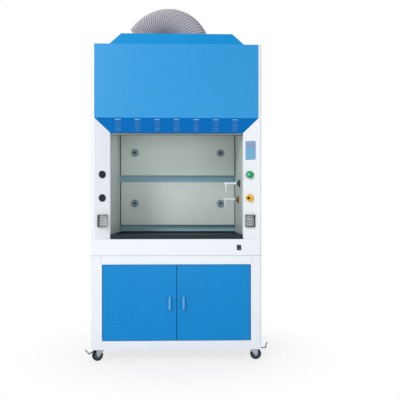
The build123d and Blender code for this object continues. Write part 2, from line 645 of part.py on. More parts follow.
def socket_lid(side):
    """A clear splash lid, hollow behind, that turns on the pin at its top."""
    inner = 28.5
    depth = 20.0
    low = -SOCKET_HEIGHT / 2 + 4.0
    rise = SOCKET_BASE + CLEARANCE
    with BuildPart() as lid:
        with BuildSketch(bevel_plane(side, SOCKET_Z, rise)):
            with Locations((0, (LID_HINGE + low) / 2)):
                RectangleRounded(2 * inner, LID_HINGE - low, 3.0)
        extrude(amount=depth)
        with BuildSketch(bevel_plane(side, SOCKET_Z, rise)):
            with Locations((0, (LID_HINGE + low) / 2)):
                RectangleRounded(2 * inner - 4, LID_HINGE - low - 4, 2.0)
        extrude(amount=depth - 2, mode=Mode.SUBTRACT)
        hinge_plane = bevel_plane(side, SOCKET_Z, LID_HINGE_RISE)
        start = hinge_plane.from_local_coords((-inner + 0.5, LID_HINGE, 0))
        barrel = Plane(origin=start, z_dir=hinge_plane.x_dir)
        tube_along(barrel, LID_RADIUS, 2 * inner - 1)
        tube_along(barrel.offset(-5), LID_PIN + FIT, 2 * inner + 10, mode=Mode.SUBTRACT)
    return lid.part


save(socket_lid(-1), "socket_lid_left")
save(socket_lid(1), "socket_lid_right")

# Upper fascia, the louvred slope and the outer skin
RETURN = 18.0
with BuildPart() as front_panel:
    block((-PANEL_HALF, PANEL_HALF), (FRONT, FRONT + RETURN), (SLOPE_HIGH, BODY_TOP))
    fillet(front_panel.faces().sort_by(Axis.Y)[0].edges(), 1.5)
    block((-PANEL_HALF + SHEET, PANEL_HALF - SHEET), (FRONT + SHEET, FRONT + RETURN),
          (SLOPE_HIGH - SHEET, BODY_TOP - SHEET), mode=Mode.SUBTRACT)
save(front_panel.part, "front_panel")

LOUVRE_GROUPS = 7
LOUVRE_ROWS = 6
LOUVRE_WIDTH = 40.0
GROUP_PITCH = 138.0
ROW_PITCH = 17.0
LOUVRE_SLOT = 4.0
LOUVRE_HOOD = 4.0
SLOPE_ANGLE = math.atan2(SLOPE_HEIGHT, BEVEL_DEPTH)
SLOPE_LENGTH = math.hypot(SLOPE_HEIGHT, BEVEL_DEPTH)
SLOPE_FACE = Plane(origin=(0, OPENING_Y, SLOPE_LOW), x_dir=(1, 0, 0),
                   z_dir=(0, -math.sin(SLOPE_ANGLE), -math.cos(SLOPE_ANGLE)))

with BuildPart() as louvre_panel:
    with BuildSketch(SLOPE_FACE):
        with BuildLine():
            Polyline((-OPENING_HALF, 0), (OPENING_HALF, 0), (PANEL_HALF, SLOPE_LENGTH),
                     (-PANEL_HALF, SLOPE_LENGTH), (-OPENING_HALF, 0))
        make_face()
    extrude(amount=-SHEET)
    block((-PANEL_HALF - 1, PANEL_HALF + 1), (FRONT - 5, OPENING_Y), (SLOPE_HIGH, SLOPE_HIGH + 10),
          mode=Mode.SUBTRACT)
    # the sash lip folds back level behind the opening's top edge
    block((-OPENING_HALF, OPENING_HALF), (OPENING_Y, OPENING_Y + LIP_DEPTH),
          (SLOPE_LOW, SLOPE_LOW + SHEET))
    first_row = (SLOPE_LENGTH - (LOUVRE_ROWS - 1) * ROW_PITCH) / 2
    louvre_spots = [((group - (LOUVRE_GROUPS - 1) / 2) * GROUP_PITCH, first_row + row * ROW_PITCH)
                    for group in range(LOUVRE_GROUPS) for row in range(LOUVRE_ROWS)]
    # each louvre is a pressed hood over a slot
    for across, up in louvre_spots:
        corner = SLOPE_FACE.from_local_coords((across - LOUVRE_WIDTH / 2, up, 0))
        side_view = Plane(origin=corner, x_dir=SLOPE_FACE.y_dir, z_dir=(1, 0, 0))
        with BuildSketch(side_view):
            with BuildLine():
                Polyline((-LOUVRE_SLOT, -LOUVRE_HOOD), (-LOUVRE_SLOT, -LOUVRE_HOOD + 1.2),
                         (LOUVRE_SLOT, 1.2), (LOUVRE_SLOT, 0), (-LOUVRE_SLOT, -LOUVRE_HOOD))
            make_face()
        extrude(amount=LOUVRE_WIDTH)
    for across, up in louvre_spots:
        with BuildSketch(SLOPE_FACE.offset(-SHEET - 1)):
            with Locations((across, up - LOUVRE_SLOT / 2)):
                Rectangle(LOUVRE_WIDTH - 4, LOUVRE_SLOT)
        extrude(amount=SHEET + 1, mode=Mode.SUBTRACT)
save(louvre_panel.part, "louvre_panel")

INLET_RADIUS = 10.5
INLET_SPOTS = ((-420.0, BASE_TOP + 60.0), (-340.0, BASE_TOP + 60.0), (-260.0, BASE_TOP + 60.0))
with BuildPart() as outer_wall_panels:
    for side in (-1, 1):
        block((side * HALF, side * (HALF - SHEET)), (POST_BACK, BACK), (BASE_TOP, BODY_TOP))
    block((-HALF + SHEET, HALF - SHEET), (BACK - SHEET, BACK), (BASE_TOP, BODY_TOP))
    with BuildSketch(Plane.XZ.offset(-BACK)):
        with Locations(*INLET_SPOTS):
            Circle(INLET_RADIUS + CLEARANCE)
    extrude(amount=SHEET * 2, both=True, mode=Mode.SUBTRACT)
save(outer_wall_panels.part, "outer_wall_panels")

with BuildPart() as rear_service_inlets:
    back_face = Plane(origin=(0, BACK, 0), x_dir=(-1, 0, 0), z_dir=(0, 1, 0))
    for x, z in INLET_SPOTS:
        spot = Plane(origin=(x, BACK, z), x_dir=(-1, 0, 0), z_dir=(0, 1, 0))
        tube_along(spot.offset(-20.0), INLET_RADIUS, 20.0 + END_PROUD)
        tube_along(spot, INLET_RADIUS + 6, 4.0)
        with BuildSketch(spot.offset(-SHEET - 8.0)):
            RegularPolygon(INLET_RADIUS + 6, 6)
        extrude(amount=8.0)
        tube_along(spot.offset(-21.0), INLET_RADIUS - 3, 22.0 + END_PROUD, mode=Mode.SUBTRACT)
save(rear_service_inlets.part, "rear_service_inlets")

with BuildPart() as roof_panel:
    with BuildSketch(Plane.XY.offset(BODY_TOP - SHEET)):
        with Locations((0, (POST_BACK + BACK - SHEET) / 2)):
            Rectangle(2 * (HALF - SHEET), BACK - SHEET - POST_BACK)
        with Locations((0, (FRONT + RETURN + POST_BACK) / 2)):
            Rectangle(2 * PANEL_HALF, POST_BACK - FRONT - RETURN)
        with Locations((DUCT_X, 0)):
            Circle(SPIGOT_RADIUS + CLEARANCE, mode=Mode.SUBTRACT)
    extrude(amount=SHEET)
save(roof_panel.part, "roof_panel")

COVER_FRONT = FRONT + 105.0
COVER_BACK = FRONT + 250.0
COVER_BASE_HALF = 521.0
COVER_TOP_HALF = 401.0
COVER_LEAN = 12.0


def cover_section(half, front, back, height):
    """A level rectangle of the roof cover."""
    with BuildSketch(Plane.XY.offset(height)) as section:
        with Locations((0, (front + back) / 2)):
            Rectangle(2 * half, back - front)
    return section.sketch


with BuildPart() as roof_cover:
    cover_top = BODY_TOP + COVER_HEIGHT
    loft([cover_section(COVER_BASE_HALF, COVER_FRONT, COVER_BACK, BODY_TOP),
          cover_section(COVER_TOP_HALF, COVER_FRONT + COVER_LEAN, COVER_BACK - COVER_LEAN,
                        cover_top)])
    fillet(roof_cover.faces().sort_by(Axis.Z)[-1].edges(), 3.0)
    loft([cover_section(COVER_BASE_HALF - SHEET, COVER_FRONT + SHEET, COVER_BACK - SHEET,
                        BODY_TOP),
          cover_section(COVER_TOP_HALF - SHEET, COVER_FRONT + COVER_LEAN + SHEET,
                        COVER_BACK - COVER_LEAN - SHEET, cover_top - SHEET)],
         mode=Mode.SUBTRACT)
save(roof_cover.part, "roof_cover")

# Worktop, drip cup and drain
CUP_Y = FRONT + 340.0
CUP_LENGTH = 180.0
CUP_WIDTH = 100.0
CUP_DEPTH = 90.0
CUP_WALL = 3.0
CUP_RIM = 8.0
CUP_RIM_THICK = 3.0
CUP_TOP = WORKTOP_TOP - RECESS_DEPTH

with BuildPart() as worktop:
    block((-OPENING_HALF, OPENING_HALF), (OPENING_Y, BACK_LINER_Y), (APRON_TOP, WORKTOP_TOP))
    fillet(worktop.faces().sort_by(Axis.Y)[0].edges().filter_by(Axis.X), 2.0)
    with BuildSketch(Plane.XY.offset(WORKTOP_TOP)):
        with Locations((0, (OPENING_Y + BAFFLE_Y) / 2)):
            RectangleRounded(2 * (OPENING_HALF - RIM_WIDTH), BAFFLE_Y - OPENING_Y - 2 * RIM_WIDTH, 12.0)
    extrude(amount=-RECESS_DEPTH, mode=Mode.SUBTRACT)
    with BuildSketch(Plane.XY.offset(APRON_TOP)):
        with Locations(Location((DRAIN_X, CUP_Y), 90)):
            SlotOverall(CUP_LENGTH, CUP_WIDTH)
    extrude(amount=WORKTOP_THICK, mode=Mode.SUBTRACT)
    # rebate that lets the cup's rim lie flush with the floor of the recess
    with BuildSketch(Plane.XY.offset(CUP_TOP)):
        with Locations(Location((DRAIN_X, CUP_Y), 90)):
            SlotOverall(CUP_LENGTH + 2 * (CUP_RIM + CLEARANCE), CUP_WIDTH + 2 * (CUP_RIM + CLEARANCE))
    extrude(amount=-CUP_RIM_THICK, mode=Mode.SUBTRACT)
save(worktop.part, "worktop")

DRAIN_SPIGOT = 18.0
DRAIN_BORE = 15.5
DRAIN_COLLAR = 27.0
COLLAR_THICK = 3.0
with BuildPart() as cup_and_drain:
    cup_low = CUP_TOP - CUP_DEPTH
    with BuildSketch(Plane.XY.offset(CUP_TOP)):
        with Locations(Location((DRAIN_X, CUP_Y), 90)):
            SlotOverall(CUP_LENGTH + 2 * CUP_RIM, CUP_WIDTH + 2 * CUP_RIM)
    extrude(amount=-CUP_RIM_THICK)
    with BuildSketch(Plane.XY.offset(CUP_TOP)):
        with Locations(Location((DRAIN_X, CUP_Y), 90)):
            SlotOverall(CUP_LENGTH - 1, CUP_WIDTH - 1)
    extrude(amount=-CUP_DEPTH, taper=6)
    with BuildLine() as drain_line:
        FilletPolyline((DRAIN_X, CUP_Y, cup_low + 1), (DRAIN_X, CUP_Y, DRAIN_Z),
                       (DRAIN_X, BACK + CLEARANCE, DRAIN_Z), radius=60)
    with BuildSketch(Plane(origin=(DRAIN_X, CUP_Y, cup_low + 1), z_dir=(0, 0, -1))):
        Circle(DRAIN_RADIUS)
    sweep(path=drain_line.wires()[0])
    outlet = Plane(origin=(DRAIN_X, BACK + CLEARANCE, DRAIN_Z), x_dir=(-1, 0, 0), z_dir=(0, 1, 0))
    tube_along(outlet, DRAIN_COLLAR, COLLAR_THICK)
    tube_along(outlet, DRAIN_SPIGOT, END_PROUD - CLEARANCE)
    with BuildSketch(Plane.XY.offset(CUP_TOP)):
        with Locations(Location((DRAIN_X, CUP_Y), 90)):
            SlotOverall(CUP_LENGTH - 2 * CUP_WALL, CUP_WIDTH - 2 * CUP_WALL)
    extrude(amount=-CUP_DEPTH + CUP_WALL, taper=6, mode=Mode.SUBTRACT)
    with BuildLine() as drain_bore:
        FilletPolyline((DRAIN_X, CUP_Y, cup_low + 5), (DRAIN_X, CUP_Y, DRAIN_Z),
                       (DRAIN_X, BACK + END_PROUD + 1, DRAIN_Z), radius=60)
    with BuildSketch(Plane(origin=(DRAIN_X, CUP_Y, cup_low + 5), z_dir=(0, 0, -1))):
        Circle(DRAIN_BORE)
    sweep(path=drain_bore.wires()[0], mode=Mode.SUBTRACT)
save(cup_and_drain.part, "cup_and_drain")

# Chamber lining and baffles
with BuildPart() as liner_wall_panels:
    for side in (-1, 1):
        block((side * OPENING_HALF, side * (OPENING_HALF + LINER)),
              (LINER_FRONT, BACK_LINER_Y + LINER), (BASE_TOP, BODY_TOP - 120.0))
    block((-OPENING_HALF, OPENING_HALF), (BACK_LINER_Y, BACK_LINER_Y + LINER),
          (BASE_TOP, BODY_TOP - 120.0))
    with Locations((DRAIN_X, BACK_LINER_Y, DRAIN_Z)):
        Cylinder(DRAIN_RADIUS + CLEARANCE, 4 * LINER, rotation=(90, 0, 0), mode=Mode.SUBTRACT)
save(liner_wall_panels.part, "liner_wall_panels")

with BuildPart() as liner_ceiling:
    block((-OPENING_HALF, OPENING_HALF), (LINER_FRONT, BAFFLE_Y + LINER),
          (CEILING_Z, CEILING_Z + LINER))
save(liner_ceiling.part, "liner_ceiling")


def baffle(low, high, knob_level):
    """A baffle board with a hole for each of its two fixing knobs."""
    with BuildPart() as board:
        block((-OPENING_HALF + SHEET, OPENING_HALF - SHEET), (BAFFLE_Y, BAFFLE_Y + LINER),
              (low, high))
        with Locations((-KNOB_X, BAFFLE_Y, knob_level), (KNOB_X, BAFFLE_Y, knob_level)):
            Cylinder(STEM_RADIUS + FIT, 4 * LINER, rotation=(90, 0, 0), mode=Mode.SUBTRACT)
    return board.part


LOWER_BAFFLE_TOP = BAFFLE_LOW + LOWER_BAFFLE_HEIGHT
save(baffle(BAFFLE_LOW, LOWER_BAFFLE_TOP, KNOB_HEIGHTS[0]), "baffle_lower")
save(baffle(LOWER_BAFFLE_TOP + BAFFLE_SLOT, CEILING_Z, KNOB_HEIGHTS[1]), "baffle_upper")

BAFFLE_KNOB = 31.0
with BuildPart() as baffle_knobs:
    for level in KNOB_HEIGHTS:
        for side in (-1, 1):
            spot = Plane(origin=(side * KNOB_X, BAFFLE_Y, level), x_dir=(1, 0, 0), z_dir=(0, -1, 0))
            with BuildSketch(spot):
                Circle(BAFFLE_KNOB)
            extrude(amount=14.0, taper=12)
            with BuildSketch(spot.offset(11.0)):
                Circle(9.5)
            extrude(amount=3.0, mode=Mode.SUBTRACT)
            tube_along(spot.offset(-LINER), STEM_RADIUS, LINER)
            tube_along(spot.offset(BAFFLE_Y - BACK_LINER_Y), 8.0, BACK_LINER_Y - BAFFLE_Y - LINER)
save(baffle_knobs.part, "baffle_knobs")

LAMP_HALF = 310.0
with BuildPart() as ceiling_lamp:
    lamp_y = LINER_FRONT + 70.0
    block((-LAMP_HALF, LAMP_HALF), (lamp_y - 30, lamp_y + 30), (CEILING_Z - 26, CEILING_Z))
    chamfer(ceiling_lamp.faces().sort_by(Axis.Z)[0].edges(), 6.0)
    for side in (-1, 1):
        block((side * (LAMP_HALF - 10), side * (LAMP_HALF - 24)), (lamp_y - 11, lamp_y + 11),
              (CEILING_Z - 58, CEILING_Z - 20))
    tube_along(Plane(origin=(-LAMP_HALF + 20, lamp_y, CEILING_Z - 46), z_dir=(1, 0, 0)), 8.0,
               2 * LAMP_HALF - 40)
save(ceiling_lamp.part, "ceiling_lamp")

# Sash: two glass leaves, the lower with a handle rail, balanced by weights on cables
LOWER_REST = SLOPE_LOW - SASH_PEEK
UPPER_REST = SLOPE_LOW + 3.0
RAIL_HEIGHT = 32.0
RAIL_DEPTH = 20.0
RAIL_HALF = OPENING_HALF - 3.0
GUIDE_WALL = 4.0
GUIDE_TOP = PULLEY_Z - PULLEY_RADIUS - 7.0
SASH_TRAVEL = LOWER_REST - WORKTOP_TOP - 1.0

with BuildPart() as sash_lower_glass:
    block((-LEAF_HALF, LEAF_HALF), (LOWER_LEAF_Y - GLASS / 2, LOWER_LEAF_Y + GLASS / 2),
          (LOWER_REST + 6, LOWER_REST + LEAF_HEIGHT))
save(sash_lower_glass.part, "sash_lower_glass")

with BuildPart() as sash_rail:
    rail_y = (LOWER_LEAF_Y - RAIL_DEPTH / 2, LOWER_LEAF_Y + RAIL_DEPTH / 2)
    block((-RAIL_HALF, RAIL_HALF), rail_y, (LOWER_REST, LOWER_REST + RAIL_HEIGHT))
    fillet(sash_rail.edges().filter_by(Axis.X), 3.0)
    block((-RAIL_HALF - 1, RAIL_HALF + 1), (LOWER_LEAF_Y - GLASS / 2, LOWER_LEAF_Y + GLASS / 2),
          (LOWER_REST + 6, LOWER_REST + RAIL_HEIGHT + 1), mode=Mode.SUBTRACT)
    # a long finger groove under the front edge
    block((-RAIL_HALF + 60, RAIL_HALF - 60), (rail_y[0] - 1, rail_y[0] + 5),
          (LOWER_REST + 9, LOWER_REST + 20), mode=Mode.SUBTRACT)
save(sash_rail.part, "sash_rail")

with BuildPart() as sash_upper_glass:
    block((-LEAF_HALF, LEAF_HALF), (UPPER_LEAF_Y - GLASS / 2, UPPER_LEAF_Y + GLASS / 2),
          (UPPER_REST, UPPER_REST + LEAF_HEIGHT))
save(sash_upper_glass.part, "sash_upper_glass")

with BuildPart() as sash_guides:
    guide_in = OPENING_HALF + SHEET
    guide_out = LEAF_HALF + 3.0 + GUIDE_WALL
    for side in (-1, 1):
        with BuildSketch(Plane.XY.offset(APRON_TOP)):
            with BuildLine():
                Polyline((side * guide_in, POST_BACK), (side * guide_out, POST_BACK),
                         (side * guide_out, GUIDE_BACK), (side * guide_in, GUIDE_BACK),
                         (side * guide_in, POST_BACK))
            make_face()
            for leaf_y in (LOWER_LEAF_Y, UPPER_LEAF_Y):
                with Locations((side * (guide_in + LEAF_HALF + 3.0) / 2, leaf_y)):
                    Rectangle(LEAF_HALF + 3.0 - guide_in, SLOT, mode=Mode.SUBTRACT)
        extrude(amount=GUIDE_TOP - APRON_TOP)
        # a cheek plate on top carries the pulley shaft
        with BuildSketch(Plane.YZ.offset(side * guide_out)):
            with BuildLine():
                Polyline((POST_BACK, GUIDE_TOP - 30), (GUIDE_BACK + 20, GUIDE_TOP - 30),
                         (SHAFT_Y + 22, PULLEY_Z), (SHAFT_Y + 22, PULLEY_Z + 24),
                         (SHAFT_Y - 22, PULLEY_Z + 24), (POST_BACK, GUIDE_TOP),
                         (POST_BACK, GUIDE_TOP - 30))
            make_face()
            with Locations((SHAFT_Y, PULLEY_Z)):
                Circle(6.0 + FIT, mode=Mode.SUBTRACT)
        extrude(amount=side * GUIDE_WALL)
save(sash_guides.part, "sash_guides")

with BuildPart() as pulley_shaft:
    reach = guide_out + GUIDE_WALL + 4.0
    groove = PULLEY_RADIUS - CABLE_RADIUS - CLEARANCE
    with BuildSketch(Plane.XY.offset(PULLEY_Z)):
        with BuildLine():
            Polyline((0, SHAFT_Y), (0, SHAFT_Y + 6), (CABLE_X - 5, SHAFT_Y + 6),
                     (CABLE_X - 5, SHAFT_Y + groove + 4), (CABLE_X - 3.5, SHAFT_Y + groove + 4),
                     (CABLE_X - 1.5, SHAFT_Y + groove), (CABLE_X + 1.5, SHAFT_Y + groove),
                     (CABLE_X + 3.5, SHAFT_Y + groove + 4), (CABLE_X + 5, SHAFT_Y + groove + 4),
                     (CABLE_X + 5, SHAFT_Y + 6), (reach, SHAFT_Y + 6), (reach, SHAFT_Y),
                     (0, SHAFT_Y))
        make_face()
    revolve(axis=Axis((0, SHAFT_Y, PULLEY_Z), (1, 0, 0)))
    mirror(about=Plane.YZ)
save(pulley_shaft.part, "pulley_shaft")

WEIGHT_HEIGHT = 380.0
WEIGHT_TOP = PULLEY_Z - SASH_TRAVEL - 105.0
WEIGHT_WIDTH = 32.0
WEIGHT_DEPTH = 44.0
WEIGHT_Y = SHAFT_Y + PULLEY_RADIUS


def counterweight(side):
    """A steel bar with an eye on top for its cable."""
    with BuildPart() as weight:
        middle = side * (CABLE_X + 2.0)
        block((middle - WEIGHT_WIDTH / 2, middle + WEIGHT_WIDTH / 2),
              (WEIGHT_Y - WEIGHT_DEPTH / 2, WEIGHT_Y + WEIGHT_DEPTH / 2),
              (WEIGHT_TOP - WEIGHT_HEIGHT, WEIGHT_TOP - 14))
        chamfer(weight.edges().filter_by(Axis.Z), 4.0)
        with BuildSketch(Plane.XY.offset(WEIGHT_TOP - 14)):
            with Locations((side * CABLE_X, WEIGHT_Y)):
                Circle(7.0)
        extrude(amount=14.0 - CLEARANCE)
    return weight.part


save(counterweight(-1), "counterweight_left")
save(counterweight(1), "counterweight_right")

with BuildPart() as sash_cables:
    for side in (-1, 1):
        for y, end in ((LOWER_LEAF_Y, LOWER_REST + LEAF_HEIGHT), (WEIGHT_Y, WEIGHT_TOP)):
            tube_along(Plane(origin=(side * CABLE_X, y, end), z_dir=(0, 0, 1)),
                       CABLE_RADIUS, PULLEY_Z - end)
save(sash_cables.part, "sash_cables")

# Exhaust blower in the upper compartment, and the ribbed duct on the roof
SCROLL_RADIUS = 175.0
SCROLL_WALL = 3.0
THROAT_LOW = DUCT_X - 85.0
THROAT_HIGH = FAN_X + SCROLL_RADIUS
THROAT_TOP = BODY_TOP - 62.0


def scroll(shrink, depth, mode):
    """The fan scroll seen from the front: a round body with an upward throat."""
    with BuildSketch(Plane.XZ.offset(-depth / 2)) as outline:
        with Locations((FAN_X, FAN_Z)):
            Circle(SCROLL_RADIUS - shrink)
        with Locations(((THROAT_LOW + THROAT_HIGH) / 2, (FAN_Z + THROAT_TOP) / 2)):
            Rectangle(THROAT_HIGH - THROAT_LOW - 2 * shrink, THROAT_TOP - FAN_Z)
    extrude(outline.sketch, amount=depth, mode=mode)


with BuildPart() as blower_housing:
    scroll(0, FAN_DEPTH, Mode.ADD)
    for way in (-1, 1):
        block((FAN_X - 110, FAN_X + 110), (way * FAN_DEPTH / 2, way * (FAN_DEPTH / 2 - 4)),
              (CEILING_Z + LINER, FAN_Z - 60))
    with BuildSketch(Plane.XY.offset(THROAT_TOP)):
        with Locations(((THROAT_LOW + THROAT_HIGH) / 2, 0)):
            Rectangle(THROAT_HIGH - THROAT_LOW, FAN_DEPTH)
    with BuildSketch(Plane.XY.offset(BODY_TOP - 12)):
        with Locations((DUCT_X, 0)):
            Circle(SPIGOT_RADIUS)
    loft(ruled=True)
    with BuildSketch(Plane.XY.offset(BODY_TOP - 12)):
        with Locations((DUCT_X, 0)):
            Circle(SPIGOT_RADIUS)
    extrude(amount=12 + CUFF_HEIGHT - 2)
    scroll(SCROLL_WALL, FAN_DEPTH - 2 * SCROLL_WALL, Mode.SUBTRACT)
    with BuildSketch(Plane.XY.offset(THROAT_TOP - 1)):
        with Locations(((THROAT_LOW + THROAT_HIGH) / 2, 0)):
            Rectangle(THROAT_HIGH - THROAT_LOW - 2 * SCROLL_WALL, FAN_DEPTH - 2 * SCROLL_WALL)
    with BuildSketch(Plane.XY.offset(BODY_TOP - 12)):
        with Locations((DUCT_X, 0)):
            Circle(SPIGOT_RADIUS - SCROLL_WALL)
    loft(ruled=True, mode=Mode.SUBTRACT)
    with BuildSketch(Plane.XY.offset(BODY_TOP - 12)):
        with Locations((DUCT_X, 0)):
            Circle(SPIGOT_RADIUS - SCROLL_WALL)
    extrude(amount=12 + CUFF_HEIGHT, mode=Mode.SUBTRACT)
    with Locations((FAN_X, -FAN_DEPTH / 2, FAN_Z)):
        Cylinder(FAN_RADIUS - 25, 4 * SCROLL_WALL, rotation=(90, 0, 0), mode=Mode.SUBTRACT)
    with Locations((FAN_X, FAN_DEPTH / 2, FAN_Z)):
        Cylinder(20.0, 4 * SCROLL_WALL, rotation=(90, 0, 0), mode=Mode.SUBTRACT)
save(blower_housing.part, "blower_housing")

MOTOR_SHAFT = 7.0
BLADES = 12
with BuildPart() as blower_motor:
    motor_face = Plane(origin=(FAN_X, FAN_DEPTH / 2, FAN_Z), x_dir=(-1, 0, 0), z_dir=(0, 1, 0))
    tube_along(motor_face, 72.0, 6.0)
    tube_along(motor_face.offset(6.0), 62.0, 130.0)
    tube_along(motor_face.offset(-120.0), MOTOR_SHAFT, 122.0)
    with BuildSketch(motor_face.offset(20.0)):
        with PolarLocations(64.0, 16):
            Rectangle(8.0, 3.0)
    extrude(amount=100.0)
save(blower_motor.part, "blower_motor")

with BuildPart() as blower_impeller:
    wheel_back = Plane(origin=(FAN_X, 62.0, FAN_Z), x_dir=(1, 0, 0), z_dir=(0, -1, 0))
    tube_along(wheel_back, FAN_RADIUS, 3.0)
    tube_along(wheel_back.offset(-12.0), 16.0, 60.0)
    with BuildSketch(wheel_back.offset(126.0)):
        Circle(FAN_RADIUS)
        Circle(FAN_RADIUS - 22, mode=Mode.SUBTRACT)
    extrude(amount=3.0)
    # backward-leaning blades between the two rings
    with BuildSketch(wheel_back.offset(2.0)):
        with PolarLocations(FAN_RADIUS - 15, BLADES):
            Rectangle(2.5, 26.0, rotation=50)
    extrude(amount=125.0)
    tube_along(wheel_back.offset(-13.0), MOTOR_SHAFT + FIT, 70.0, mode=Mode.SUBTRACT)
save(blower_impeller.part, "blower_impeller")

BEND_Z = BODY_TOP + CUFF_HEIGHT


def duct_plane(angle):
    """The cross plane of the duct at an angle along its bend, which leans to the left and back."""
    turn = math.radians(angle)
    left = -math.cos(math.radians(DUCT_TURN))
    back = math.sin(math.radians(DUCT_TURN))
    reach = DUCT_BEND * (1 - math.cos(turn))
    centre = (DUCT_X + left * reach, back * reach, BEND_Z + DUCT_BEND * math.sin(turn))
    along = (left * math.sin(turn), back * math.sin(turn), math.cos(turn))
    return Plane(origin=centre, x_dir=(back, -left, 0), z_dir=along)


def duct_skin(inset, mode):
    """The pleated skin: ruled cones between a ring and the valley beside it."""
    steps = 2 * DUCT_PLEATS
    rings = []
    for step in range(steps + 1):
        valley = PLEAT_DEPTH if step % 2 == 0 else 0.0
        with BuildSketch(duct_plane(DUCT_ARC * step / steps)) as ring:
            Circle(DUCT_RADIUS - valley - inset)
        rings.append(ring.sketch)
    loft(rings, ruled=True, mode=mode)


with BuildPart() as flexible_duct:
    duct_skin(0.0, Mode.ADD)
    with BuildSketch(Plane.XY.offset(BODY_TOP + CLEARANCE)):
        with Locations((DUCT_X, 0)):
            Circle(DUCT_RADIUS - PLEAT_DEPTH)
    extrude(amount=CUFF_HEIGHT - CLEARANCE)
    duct_skin(DUCT_WALL, Mode.SUBTRACT)
    with BuildSketch(Plane.XY.offset(BODY_TOP)):
        with Locations((DUCT_X, 0)):
            Circle(DUCT_RADIUS - PLEAT_DEPTH - DUCT_WALL)
    extrude(amount=CUFF_HEIGHT, mode=Mode.SUBTRACT)
save(flexible_duct.part, "flexible_duct")

# Taps on the right lining wall
TAP_SPOTS = ((FRONT + 290.0, WORKTOP_TOP + 377.0), (FRONT + 390.0, WORKTOP_TOP + 259.0))
TAP_REACH = 110.0
TAP_PIPE = 6.75
TAP_DROP = 65.0

with BuildPart() as service_taps:
    for y, z in TAP_SPOTS:
        wall = Plane(origin=(OPENING_HALF, y, z), x_dir=(0, 1, 0), z_dir=(-1, 0, 0))
        tube_along(wall, 31.0, 10.0)
        tube_along(wall.offset(10.0), 13.0, 16.0)
        tube_along(wall.offset(20.0), TAP_PIPE, TAP_REACH - 20.0)
        elbow = (OPENING_HALF - TAP_REACH, y, z)
        with Locations(elbow):
            Sphere(TAP_PIPE + 2.0)
        with BuildSketch(Plane(origin=elbow, z_dir=(0, 0, -1))):
            Circle(TAP_PIPE)
        extrude(amount=TAP_DROP, taper=2.0)
save(service_taps.part, "service_taps")
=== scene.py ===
import math
import bpy
from mathutils import Matrix, Vector


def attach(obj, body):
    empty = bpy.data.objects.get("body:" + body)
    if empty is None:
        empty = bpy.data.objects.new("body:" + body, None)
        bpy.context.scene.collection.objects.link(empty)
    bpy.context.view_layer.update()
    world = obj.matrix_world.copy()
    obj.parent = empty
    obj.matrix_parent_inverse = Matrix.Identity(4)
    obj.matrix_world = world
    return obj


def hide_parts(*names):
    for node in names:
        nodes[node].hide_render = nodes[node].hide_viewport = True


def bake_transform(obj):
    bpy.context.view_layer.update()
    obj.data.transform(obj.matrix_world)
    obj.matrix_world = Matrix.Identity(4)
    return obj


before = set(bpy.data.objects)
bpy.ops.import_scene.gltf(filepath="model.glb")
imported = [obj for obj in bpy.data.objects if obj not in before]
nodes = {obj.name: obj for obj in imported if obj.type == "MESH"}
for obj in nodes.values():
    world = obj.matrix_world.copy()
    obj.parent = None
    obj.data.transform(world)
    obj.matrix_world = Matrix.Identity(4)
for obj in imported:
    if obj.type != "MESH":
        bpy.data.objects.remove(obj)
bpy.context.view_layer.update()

# Sizes shared with the solids, in metres
FRONT = -0.400
BACK = 0.400
HALF = 0.600
OPENING_HALF = 0.475
BODY_TOP = 2.240
BEVEL_DEEP = 0.060
BEVEL_WIDE = 0.104
BEVEL = math.atan2(BEVEL_DEEP, BEVEL_WIDE)
VALVE_LEVELS = (1.155, 1.321)
SOCKET_LEVEL = 0.993
KEYPAD_LEVEL = 1.4945


def srgb(red, green, blue, alpha=1.0):
    """A colour given as 0 to 255 screen values, in the linear values that shaders use."""
    def linear(value):
        value /= 255
        return value / 12.92 if value <= 0.04045 else ((value + 0.055) / 1.055) ** 2.4
    return (linear(red), linear(green), linear(blue), alpha)


# Camera: a standing person's view, a little to the right of the hood's middle
camera_data = bpy.data.cameras.new("photo_camera")
camera_data.sensor_width = 36.0
camera_data.lens = 50.6
camera_data.shift_y = 0.0225
camera = bpy.data.objects.new("photo_camera", camera_data)
bpy.context.scene.collection.objects.link(camera)
camera.location = (0.0515, -4.365, 1.077)
camera.rotation_euler = (math.radians(90), 0, math.radians(-1.63))
bpy.context.scene.camera = camera
bpy.context.scene.view_settings.view_transform = "Standard"


# Node helpers
def node(tree, kind, settings=None, **values):
    """A shader node; each value is a number, a colour or the socket that feeds the input."""
    made = tree.nodes.new(kind)
    for key, value in (settings or {}).items():
        setattr(made, key, value)
    for key, value in values.items():
        socket = made.inputs[int(key[1:])] if key[0] == "_" else made.inputs[key.replace("_", " ")]
        if isinstance(value, bpy.types.NodeSocket):
            tree.links.new(value, socket)
        else:
            socket.default_value = value
    return made


def maths(tree, operation, first, second=0.5):
    """One arithmetic step."""
    return node(tree, "ShaderNodeMath", {"operation": operation}, _0=first, _1=second).outputs[0]


def ramp(tree, value, low, high):
    """A smooth mask that is 0 below low and 1 above high."""
    made = node(tree, "ShaderNodeMapRange", {"interpolation_type": "SMOOTHSTEP"}, Value=value)
    made.inputs["From Min"].default_value = low
    made.inputs["From Max"].default_value = high
    return made.outputs["Result"]


def blend_colour(tree, mask, first, second, mode="MIX"):
    """A mix of two colours under a mask."""
    made = node(tree, "ShaderNodeMix", {"data_type": "RGBA", "blend_type": mode})
    for socket, value in ((made.inputs[0], mask), (made.inputs[6], first), (made.inputs[7], second)):
        if isinstance(value, bpy.types.NodeSocket):
            tree.links.new(value, socket)
        else:
            socket.default_value = value
    return made.outputs[2]


